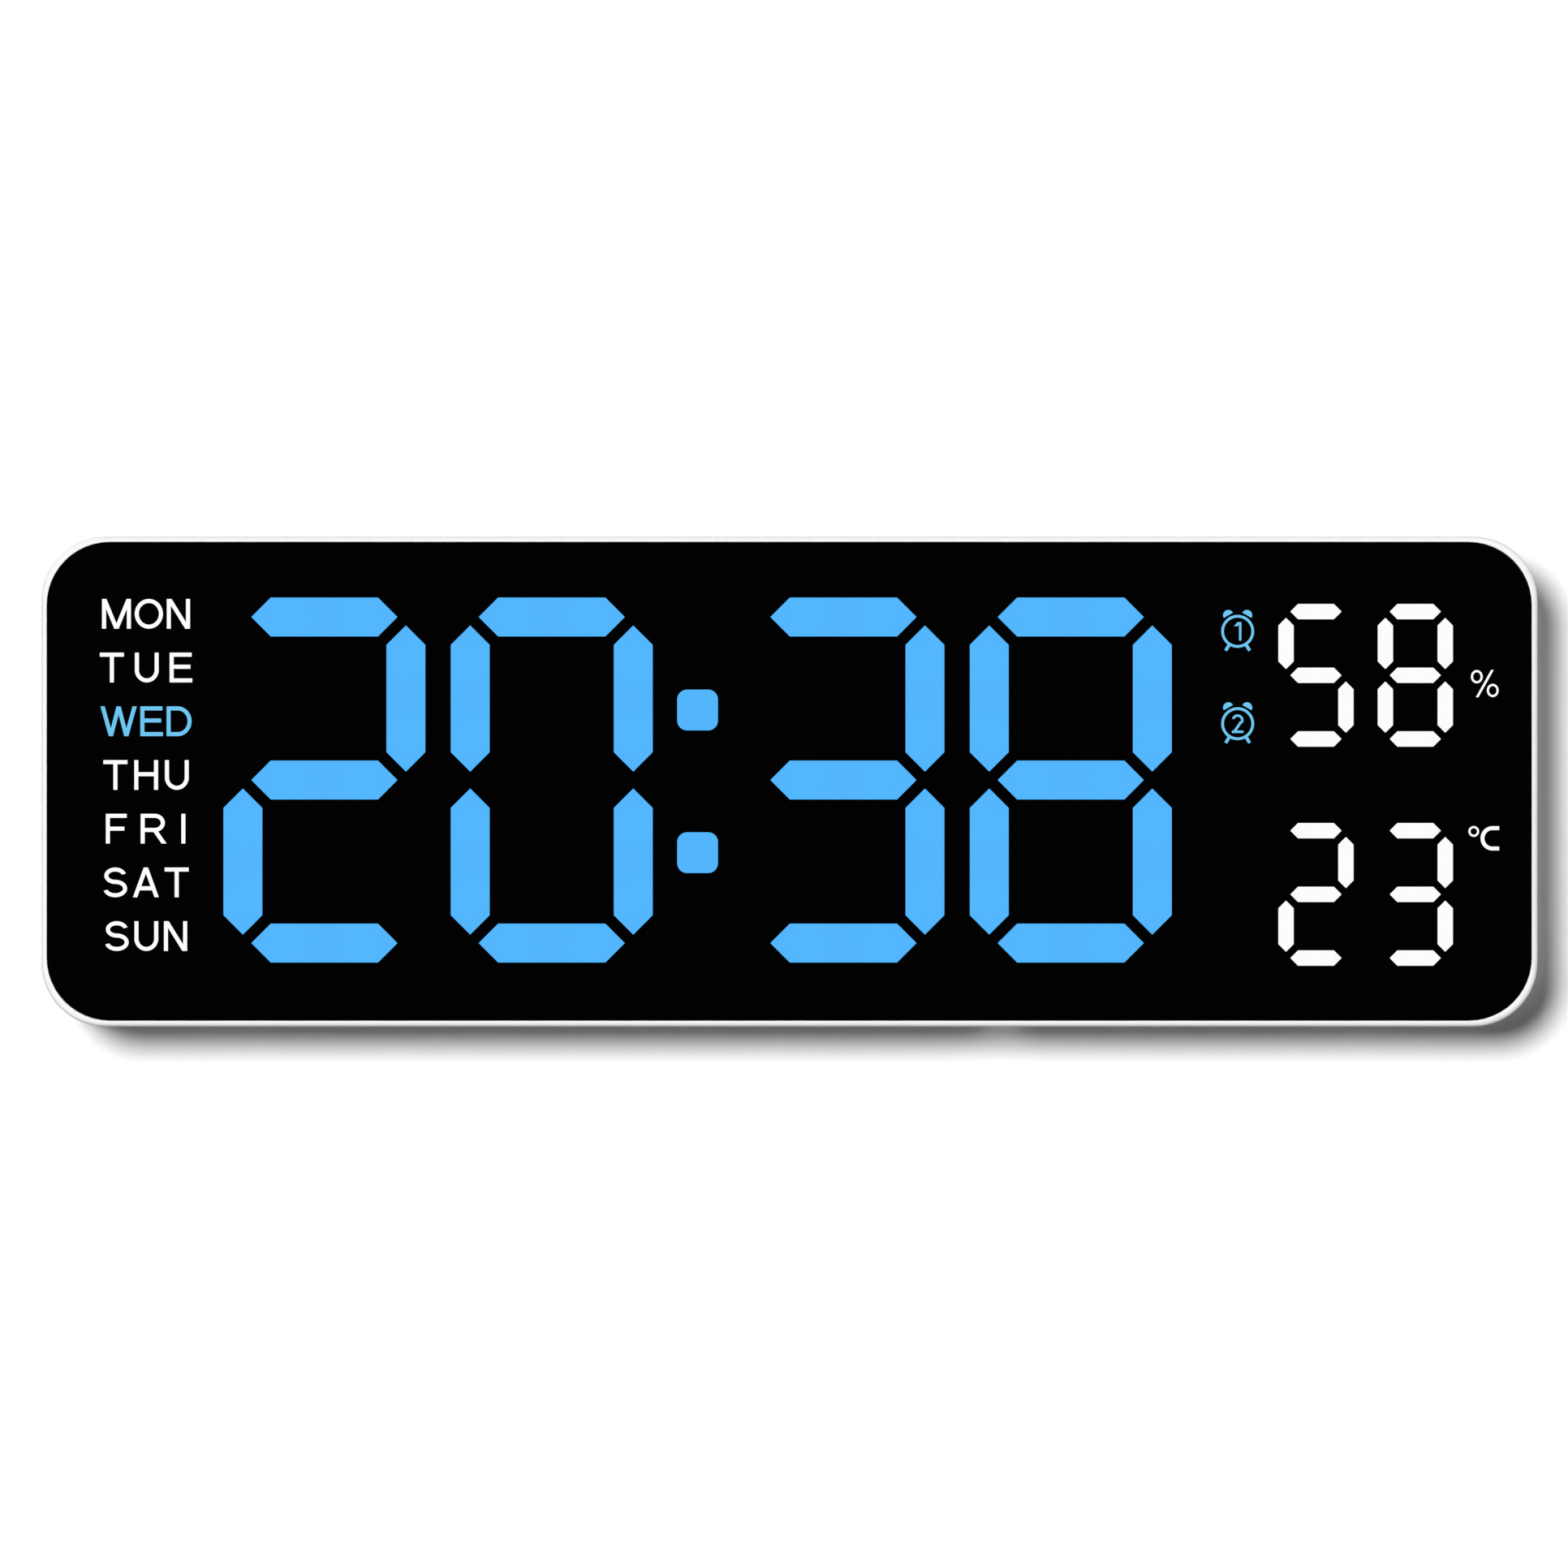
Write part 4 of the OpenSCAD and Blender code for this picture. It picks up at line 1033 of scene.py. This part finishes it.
@dataclass
class LightBars:
    """The lit bars of one node, set out by a geometry tree and stepped like the solids they stand for."""

    node: str
    finish: LitDiffuser
    slot: str
    corner: float
    flange: float = 0.3
    flange_depth: float = 1.0
    tree_name: ClassVar[str] = "light_bars"
    size_names: ClassVar[tuple[str, ...]] = ("Length", "Width", "Corner", "Depth", "Flange", "Flange Depth",
                                             "Level")
    corner_points: ClassVar[int] = 4

    def tree(self) -> bpy.types.NodeTree:
        """Builds the tree that sets one six-sided bar on every point.

        Returns:
            The tree, made once.
        """
        if self.tree_name in bpy.data.node_groups:
            return bpy.data.node_groups[self.tree_name]
        tree = bpy.data.node_groups.new(self.tree_name, "GeometryNodeTree")
        graph = Graph(tree)
        tree.interface.new_socket("Geometry", in_out="INPUT", socket_type="NodeSocketGeometry")
        for name in self.size_names:
            tree.interface.new_socket(name, in_out="INPUT", socket_type="NodeSocketFloat")
        tree.interface.new_socket("Finish", in_out="INPUT", socket_type="NodeSocketMaterial")
        tree.interface.new_socket("Geometry", in_out="OUTPUT", socket_type="NodeSocketGeometry")
        given = graph.node("NodeGroupInput")
        turn = graph.node("GeometryNodeInputNamedAttribute", {"data_type": "FLOAT"}, {"Name": "turn"})
        copies = graph.node("GeometryNodeInstanceOnPoints", {}, {
            "Points": given.out("Geometry"), "Instance": self.stepped_bar(graph, given),
            "Rotation": graph.node("FunctionNodeEulerToRotation", {}, {"Euler": graph.point(Z=turn)})})
        solid = graph.node("GeometryNodeRealizeInstances", {}, {"Geometry": copies})
        hung = graph.node("GeometryNodeTransform", {}, {
            "Geometry": solid, "Rotation": (math.pi / 2, 0.0, 0.0),
            "Translation": graph.point(Y=given.out("Level"))})
        covered = graph.node("GeometryNodeSetMaterial", {}, {
            "Geometry": hung, "Material": given.out("Finish")})
        graph.node("NodeGroupOutput", {}, {"Geometry": covered})
        return tree

    def outline(self, graph: Graph, given: Wire) -> Wire:
        """Draws the bar's six-sided outline with softened corners.

        Args:
            graph: The geometry tree.
            given: The tree's inputs.

        Returns:
            The closed curve.
        """
        ring = graph.node("GeometryNodeCurvePrimitiveCircle", {"mode": "RADIUS"}, {
            "Resolution": 6, "Radius": 1.0})
        across, up, _ = graph.axes(graph.node("GeometryNodeInputPosition"))
        row = graph.math("ROUND", up * (2 / math.sqrt(3)))
        half_w = given.out("Width") / 2
        along = graph.math("SIGN", across) * (given.out("Length") / 2 - abs(row) * half_w)
        six = graph.node("GeometryNodeSetPosition", {}, {
            "Geometry": ring, "Position": graph.point(X=along, Y=row * half_w)})
        return graph.node("GeometryNodeFilletCurve", {"mode": "POLY"}, {
            "Curve": six, "Count": self.corner_points, "Radius": given.out("Corner"), "Limit Radius": True})

    @staticmethod
    def push(graph: Graph, mesh: Wire, depth: Wire | float, chosen: Wire | None = None) -> Wire:
        """Pushes faces back from the clock's face, with new walls behind them.

        Args:
            graph: The geometry tree.
            mesh: The mesh.
            depth: How far.
            chosen: The faces, or none for all.

        Returns:
            The new mesh.
        """
        selection = {} if chosen is None else {"Selection": chosen}
        return graph.node("GeometryNodeExtrudeMesh", {"mode": "FACES"}, {
            "Mesh": mesh, "Offset": graph.point(Z=-1.0), "Offset Scale": depth, "Individual": False,
            **selection})

    def stepped_bar(self, graph: Graph, given: Wire) -> Wire:
        """Draws the bar back from the face and widens it into its flange.

        Args:
            graph: The geometry tree.
            given: The tree's inputs.

        Returns:
            The closed bar with its top at the level 0.
        """
        top = graph.node("GeometryNodeFillCurve", {"mode": "NGONS"}, {"Curve": self.outline(graph, given)})
        shaft = self.push(graph, top, given.out("Depth"))
        ledge = self.push(graph, shaft, 0.0, shaft.out("Top"))
        tip = given.out("Flange") * (2 * math.sqrt(2)) / given.out("Length") + 1
        brim = given.out("Flange") * 2 / given.out("Width") + 1
        grown = graph.node("ShaderNodeVectorMath", {"operation": "MULTIPLY"}, {
            0: graph.node("GeometryNodeInputPosition"), 1: graph.point(X=tip, Y=brim, Z=1.0)})
        widened = graph.node("GeometryNodeSetPosition", {}, {
            "Geometry": ledge, "Selection": ledge.out("Top"), "Position": grown})
        flange = self.push(graph, widened, given.out("Flange Depth"), ledge.out("Top"))
        closed = graph.node("GeometryNodeJoinGeometry", {}, {"Geometry": [flange, top]})
        welded = graph.node("GeometryNodeMergeByDistance", {}, {"Geometry": closed, "Distance": MICRON})
        kind = {"data_type": "FLOAT_VECTOR", "domain": "POINT"}
        return graph.node("GeometryNodeStoreNamedAttribute", kind, {
            "Geometry": welded, "Name": "bar_place", "Value": graph.node("GeometryNodeInputPosition")})

    def build(self) -> None:
        """Makes the bars where the node's own solids are, and hides those."""
        boxes = solids_of(self.node)
        centres = [(low + high) / 2 for low, high in boxes]
        spans = [(high - low) / MM for low, high in boxes]
        stands = [span.z > span.x for span in spans]
        length = max(spans[0].x, spans[0].z) - 2 * math.sqrt(2) * self.flange
        width = min(spans[0].x, spans[0].z) - 2 * self.flange
        depth = spans[0].y - self.flange_depth
        points = bpy.data.meshes.new(f"{self.node}_points")
        points.from_pydata([(centre.x, centre.z, 0.0) for centre in centres], [], [])
        turns = points.attributes.new("turn", "FLOAT", "POINT")
        turns.data.foreach_set("value", [math.pi / 2 if stand else 0.0 for stand in stands])
        host = bpy.data.objects.new(f"{self.node}_host", points)
        bpy.context.scene.collection.objects.link(host)
        sizes = (length, width, self.corner, depth, self.flange, self.flange_depth, boxes[0][0].y / MM)
        self.give_inputs(host, {
            **{name: size * MM for name, size in zip(self.size_names, sizes)},
            "Finish": self.finish.material()})
        mesh = self.plain_mesh(host)
        body = frame["nodes"][self.node]["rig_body"]
        add_piece(f"{self.node}_lit", mesh, self.finish, body, (self.node,))

    def give_inputs(self, host: bpy.types.Object, values: Mapping[str, Any]) -> None:
        """Adds the tree to the points and sets its inputs.

        Args:
            host: The object that holds the points.
            values: The value for each named input.
        """
        modifier = host.modifiers.new("bars", "NODES")
        modifier.node_group = self.tree()
        for item in modifier.node_group.interface.items_tree:
            if item.in_out == "INPUT" and item.name in values:
                modifier[item.identifier] = values[item.name]

    @staticmethod
    def plain_mesh(host: bpy.types.Object) -> bpy.types.Mesh:
        """Turns the tree's result into a plain mesh and removes its host.

        Args:
            host: The object with the tree.

        Returns:
            The mesh, with its faces outwards.
        """
        graph = bpy.context.evaluated_depsgraph_get()
        mesh = bpy.data.meshes.new_from_object(host.evaluated_get(graph), preserve_all_data_layers=True,
                                               depsgraph=graph)
        host.modifiers.clear()
        bpy.data.objects.remove(host)
        shape = bmesh.new()
        shape.from_mesh(mesh)
        bmesh.ops.recalc_face_normals(shape, faces=shape.faces)
        shape.to_mesh(mesh)
        shape.free()
        return mesh


@dataclass(frozen=True)
class AlarmIcon:
    """A small alarm clock with two bells, two feet and its number."""

    figures: Lettering = Lettering(2.9, 0.36)
    drop: float = 0.35
    ring_r: float = 2.37
    ring_pen: float = 0.41
    bell_r: float = 0.82
    bell_away: float = 2.92
    bell_turn: float = 30.0
    foot_turn: float = 32.0
    foot_reach: Point = (2.5, 3.55)
    foot_pen: float = 0.48

    def lowered(self, length: float, angle: float) -> Point:
        """Gives a point round the ring's middle."""
        across, up = polar(length, angle)
        return across, up - self.drop

    def draw(self, figure: str) -> Sketch:
        """Draws the icon.

        Args:
            figure: The number inside.

        Returns:
            The drawing.
        """
        sketch = Sketch()
        sketch.arc((0, -self.drop), (self.ring_r, self.ring_r), self.ring_pen)
        for hand in (-1, 1):
            out = 90 - hand * self.bell_turn
            sketch.segment(self.lowered(self.bell_away, out), self.bell_r, out - 90, out + 90)
            down = -90 + hand * self.foot_turn
            sketch.bar(*(self.lowered(reach, down) for reach in self.foot_reach), self.foot_pen)
        left, base = -self.figures.width(figure) / 2, -self.figures.cap / 2 - self.drop
        self.figures.draw(sketch, figure, left, base)
        return sketch


@dataclass(frozen=True)
class PercentSign:
    """Two rings and a slash."""

    right: float = 0.2
    ring_away: Point = (1.25, 1.08)
    ring_radii: Point = (0.76, 0.87)
    ring_pen: float = 0.33
    slash_reach: Point = (1.2, 2.14)
    slash_w: float = 0.4

    def draw(self) -> Sketch:
        """Draws the sign.

        Returns:
            The drawing.
        """
        sketch = Sketch()
        for hand in (-1, 1):
            middle = (self.right + hand * self.ring_away[0], -hand * self.ring_away[1])
            sketch.arc(middle, self.ring_radii, self.ring_pen)
        across, up = self.slash_reach
        sketch.slant((self.right - across, -up), (self.right + across, up), self.slash_w)
        return sketch


@dataclass(frozen=True)
class DegreeSign:
    """A small ring and an open C."""

    ring_middle: Point = (-1.53, 1.08)
    ring_r: float = 0.68
    ring_pen: float = 0.32
    left: float = -0.46
    right: float = 2.46
    arm: float = 1.6
    bend: float = 1.55
    pen: float = 0.6

    def draw(self) -> Sketch:
        """Draws the sign.

        Returns:
            The drawing.
        """
        sketch = Sketch()
        sketch.arc(self.ring_middle, (self.ring_r, self.ring_r), self.ring_pen)
        middle = self.left + self.pen / 2 + self.bend
        sketch.arc((middle, 0), (self.bend, self.arm), self.pen, 90, 270)
        for hand in (-1, 1):
            sketch.bar((middle, hand * self.arm), (self.right, hand * self.arm), self.pen)
        return sketch


@dataclass
class FaceSigns:
    """Words and signs that shine on the dark windows of the face."""

    sunk: float = 0.02
    proud: float = 0.05
    lit_day: Weekday = Weekday.WED
    day_letters: Lettering = Lettering(4.66, 0.625)
    alarm_icon: AlarmIcon = AlarmIcon()
    percent: PercentSign = PercentSign()
    degree: DegreeSign = DegreeSign()

    def add(self, name: str, sketch: Sketch, box: Box, finish: Finish, slot: str) -> None:
        """Sets a drawing on one window.

        Args:
            name: The piece's name.
            sketch: The drawing, centred on the window.
            box: The window's box.
            finish: What covers it.
            slot: The record's material slot; not used.
        """
        spot = (box[0] + box[1]) / 2
        spot.y = box[0].y
        add_piece(name, sketch.plate(name, -self.sunk, self.proud, Side.FRONT, spot), finish, "clock")

    def build(self) -> None:
        """Makes all words and signs."""
        for day, box in zip(Weekday, solids_of("weekday_windows")):
            finish, slot = (PALE_SIGN, "blue_light") if day is self.lit_day else (WHITE_BAR, "white_light")
            word = self.day_letters.word(day.name, day.width)
            self.add(f"weekday_{day.name.lower()}", word, box, finish, slot)
        for figure, box in zip("12", solids_of("alarm_windows")):
            self.add(f"alarm_icon_{figure}", self.alarm_icon.draw(figure), box, PALE_SIGN, "blue_light")
        units = {"percent_sign": self.percent, "degree_sign": self.degree}
        for (name, sign), box in zip(units.items(), solids_of("unit_windows")):
            self.add(name, sign.draw(), box, WHITE_BAR, "white_light")


@dataclass(frozen=True)
class ArrowHead:
    """A filled arrow head."""

    half_w: float
    tail: float
    tip: float

    def draw(self, middle: float, hand: int) -> Sketch:
        """Draws the arrow head.

        Args:
            middle: Height of its middle.
            hand: 1 for up and -1 for down.

        Returns:
            The drawing.
        """
        sketch = Sketch()
        tail, tip = middle - hand * self.tail, middle + hand * self.tip
        sketch.area([(-self.half_w, tail), (self.half_w, tail), (0, tip)])
        return sketch


@dataclass(frozen=True)
class DottedRing:
    """A ring with a dot in its middle."""

    ring_r: float = 1.2
    pen: float = 0.42

    def draw(self) -> Sketch:
        """Draws the ring.

        Returns:
            The drawing.
        """
        sketch = Sketch()
        sketch.arc((0, 0), (self.ring_r, self.ring_r), self.pen)
        sketch.disc((0, 0), self.pen)
        return sketch


@dataclass(frozen=True)
class Bell:
    """A bell with its rim and clapper."""

    dome_r: float = 0.95
    dome_level: float = 0.35
    skirt_top: float = 0.4
    skirt_foot: float = -0.6
    rim_half_w: float = 1.4
    rim_level: float = -0.75
    rim_pen: float = 0.35
    clapper_r: float = 0.4
    clapper_level: float = -1.0

    def draw(self) -> Sketch:
        """Draws the bell.

        Returns:
            The drawing.
        """
        sketch = Sketch()
        sketch.segment((0, self.dome_level), self.dome_r, 0, 180)
        sketch.bar((0, self.skirt_top), (0, self.skirt_foot), 2 * self.dome_r)
        sketch.bar((-self.rim_half_w, self.rim_level), (self.rim_half_w, self.rim_level), self.rim_pen)
        sketch.segment((0, self.clapper_level), self.clapper_r, 180, 360)
        return sketch


@dataclass
class RearMarks:
    """Printed signs on the buttons and round the battery cap."""

    sunk: float = 0.02
    proud: float = 0.04
    ring: DottedRing = DottedRing()
    arrow: ArrowHead = ArrowHead(1.5, 0.85, 1.15)
    bell: Bell = Bell()
    pointer: ArrowHead = ArrowHead(0.9, 0.8, 0.7)
    pointer_away: float = 10.6
    lock_away: float = 14.9
    lock_turn: float = 45.0
    locked_r: float = 0.75
    open_r: float = 0.6
    open_pen: float = 0.35

    def add(self, name: str, sketch: Sketch, spot: Vector, body: str) -> None:
        """Prints a drawing on the back, with its middle at a spot in metres."""
        mesh = sketch.plate(name, -self.sunk, self.proud, Side.BACK, spot)
        add_piece(name, mesh, MARK_INK, body)

    def build(self) -> None:
        """Makes the signs of the four buttons and of the cap."""
        signs = {"set": self.ring.draw(), "up": self.arrow.draw(0.0, 1), "down": self.arrow.draw(0.0, -1),
                 "alarm": self.bell.draw()}
        for name, sketch in signs.items():
            self.add(f"{name}_mark", sketch, self.rear_middle(f"{name}_button"), f"{name}_button")
        middle = self.rear_middle("battery_cap")
        self.add("battery_cap_pointer", self.pointer.draw(self.pointer_away, 1), middle, "battery_cap")
        middle.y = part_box("rear_cover")[1].y
        self.add("battery_lock_marks", self.lock_marks(), middle, "clock")

    @staticmethod
    def rear_middle(node: str) -> Vector:
        """Finds the middle of a node's rear face.

        Args:
            node: The node's name.

        Returns:
            The point in metres.
        """
        low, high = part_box(node)
        spot = (low + high) / 2
        spot.y = high.y
        return spot

    def lock_marks(self) -> Sketch:
        """Draws a dot where the cap is locked and a ring where it comes free.

        Returns:
            The drawing.
        """
        sketch = Sketch()
        sketch.disc((0, self.lock_away), self.locked_r)
        sketch.arc(polar(self.lock_away, 90 + self.lock_turn), (self.open_r, self.open_r), self.open_pen)
        return sketch


@dataclass
class FootPads:
    """Rubber pads stuck on the faces of the feet that turn downwards."""

    size: Point = (9.0, 7.0)
    corner: float = 1.6
    proud: float = 0.25
    sunk: float = 0.02
    rise: float = 23.5

    def build(self) -> None:
        """Sticks one pad on each foot."""
        for foot in ("left_foot", "right_foot"):
            low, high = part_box(foot)
            sketch = Sketch()
            sketch.pad((0, 0), self.size, self.corner)
            spot = Vector(((low.x + high.x) / 2, high.y, low.z + self.rise * MM))
            name = f"{foot}_pad"
            mesh = sketch.plate(name, -self.sunk, self.proud, Side.BACK, spot)
            add_piece(name, mesh, PAD_RUBBER, foot)


@dataclass
class Studio:
    """Camera square to the face, soft lamps, a pale wall that runs into a floor, and a dark card."""

    lens: float = 500.0
    sensor: float = 36.0
    view_width: float = 246.2
    view_depth: Point = (50.0, 20000.0)
    aim: Point = (-0.83, 0.6)
    key_level: float = 1.03
    key_way: Way = (0.186, 1.0, -0.137)
    key_angle: float = 12.0
    rear_level: float = 0.75
    rear_way: Way = (0.5, -0.9, -0.7)
    side_level: float = 0.3
    side_way: Way = (-1.0, -0.35, -0.25)
    fill_angle: float = 40.0
    room_level: float = 0.04
    wall_gap: float = 0.5
    wall_top: float = 1500.0
    floor_drop: float = 700.0
    sweep_r: float = 300.0
    sweep_steps: int = 16
    half_width: float = 2500.0
    card_size: Point = (1200.0, 800.0)
    card_behind: float = 650.0

    def build(self) -> None:
        """Sets the view, the lamps and the surroundings."""
        bpy.context.scene.view_settings.view_transform = "Standard"
        camera = self.camera()
        self.sun("key_lamp", self.key_way, self.key_level, self.key_angle)
        self.sun("rear_lamp", self.rear_way, self.rear_level, self.fill_angle)
        self.sun("side_lamp", self.side_way, self.side_level, self.fill_angle)
        self.world()
        self.backdrop()
        self.dark_card(camera)

    def camera(self) -> bpy.types.Object:
        """Stands the camera square in front of the face.

        Returns:
            The camera.
        """
        lens = bpy.data.cameras.new("camera")
        lens.lens, lens.sensor_width = self.lens, self.sensor
        lens.clip_start, lens.clip_end = (value * MM for value in self.view_depth)
        camera = bpy.data.objects.new("camera", lens)
        bpy.context.scene.collection.objects.link(camera)
        away = self.view_width * self.lens / self.sensor * MM
        camera.location = (self.aim[0] * MM, CAD_BOX[0].y - away, self.aim[1] * MM)
        camera.rotation_euler = (math.pi / 2, 0.0, 0.0)
        bpy.context.scene.camera = camera
        return camera

    @staticmethod
    def sun(name: str, way: Way, level: float, angle: float) -> None:
        """Adds a distant soft lamp.

        Args:
            name: The lamp's name.
            way: The way that its light travels.
            level: Brightness that it gives a white card held square to it.
            angle: How wide the lamp looks, in degrees.
        """
        light = bpy.data.lights.new(name, "SUN")
        light.energy = level * math.pi
        light.angle = math.radians(angle)
        lamp = bpy.data.objects.new(name, light)
        lamp.rotation_euler = Vector(way).to_track_quat("-Z", "Y").to_euler()
        lamp.visible_glossy = False
        bpy.context.scene.collection.objects.link(lamp)

    def world(self) -> None:
        """Makes the room white to the eye and in reflections, and dim as a lamp."""
        world = bpy.data.worlds.new("room")
        world.use_nodes = True
        bpy.context.scene.world = world
        graph = Graph(world.node_tree)
        path = graph.node("ShaderNodeLightPath")
        mirror = graph.math("MAXIMUM", path.out("Is Glossy Ray"), path.out("Is Transmission Ray"))
        seen = graph.math("MAXIMUM", path.out("Is Camera Ray"), mirror)
        lamp, white = (graph.node("ShaderNodeBackground", {}, {"Color": (1, 1, 1, 1), "Strength": level})
                       for level in (self.room_level, 1.0))
        mixed = graph.node("ShaderNodeMixShader", {}, {0: seen, 1: lamp, 2: white})
        graph.node("ShaderNodeOutputWorld", {}, {"Surface": mixed})

    @staticmethod
    def add_stage(name: str, half_width: float, corners: list[Point], finish: Finish) -> bpy.types.Object:
        """Draws a profile out sideways into a sheet that is part of the stage.

        Args:
            name: The sheet's name.
            half_width: Its reach to either side in metres.
            corners: The profile as depth and height in metres.
            finish: What covers it.

        Returns:
            The sheet, which casts no shadow and no light on the clock.
        """
        points = [(hand * half_width, depth, height) for depth, height in corners for hand in (-1, 1)]
        faces = [(2 * i, 2 * i + 1, 2 * i + 3, 2 * i + 2) for i in range(len(corners) - 1)]
        mesh = bpy.data.meshes.new(name)
        mesh.from_pydata(points, [], faces)
        mesh.materials.append(finish.material())
        mesh.shade_smooth()
        sheet = bpy.data.objects.new(name, mesh)
        bpy.context.scene.collection.objects.link(sheet)
        sheet.visible_shadow = sheet.visible_diffuse = sheet.visible_transmission = False
        return sheet

    def backdrop(self) -> None:
        """Makes the wall behind the clock and the floor it runs into."""
        gap, top, drop, bend, half = (value * MM for value in (
            self.wall_gap, self.wall_top, self.floor_drop, self.sweep_r, self.half_width))
        arc = [math.pi / 2 * step / self.sweep_steps for step in range(self.sweep_steps + 1)]
        corners = [(-2 * half, -drop)]
        corners += [(gap - bend + bend * math.sin(a), bend - drop - bend * math.cos(a)) for a in arc]
        corners += [(gap, top)]
        sheet = self.add_stage("backdrop", half, corners, PaleBackdrop("pale_backdrop"))
        sheet.visible_glossy = False

    def dark_card(self, camera: bpy.types.Object) -> None:
        """Hangs the dark card behind the camera, where only the face's gloss sees it.

        Args:
            camera: The camera.
        """
        half_w, half_h = (length / 2 * MM for length in self.card_size)
        depth = camera.location.y - self.card_behind * MM
        card = self.add_stage("dark_card", half_w, [(depth, -half_h), (depth, half_h)], DarkCard("dark_card"))
        card.visible_camera = False


def main() -> None:
    """Builds the clock's looks and its studio in order."""
    logging.basicConfig(level=logging.INFO, format="%(name)s: %(message)s")
    CasingShells().dress()
    FaceSheet().dress()
    Electronics().dress()
    for node in ("hour_tens_bars", "hour_units_bars", "minute_tens_bars", "minute_units_bars"):
        LightBars(node, BLUE_BAR, "blue_light", corner=0.12).build()
    for node in ("humidity_bars", "temperature_bars"):
        LightBars(node, WHITE_BAR, "white_light", corner=0.35).build()
    FaceSigns().build()
    RearMarks().build()
    FootPads().build()
    Studio().build()


if __name__ == "__main__":
    main()
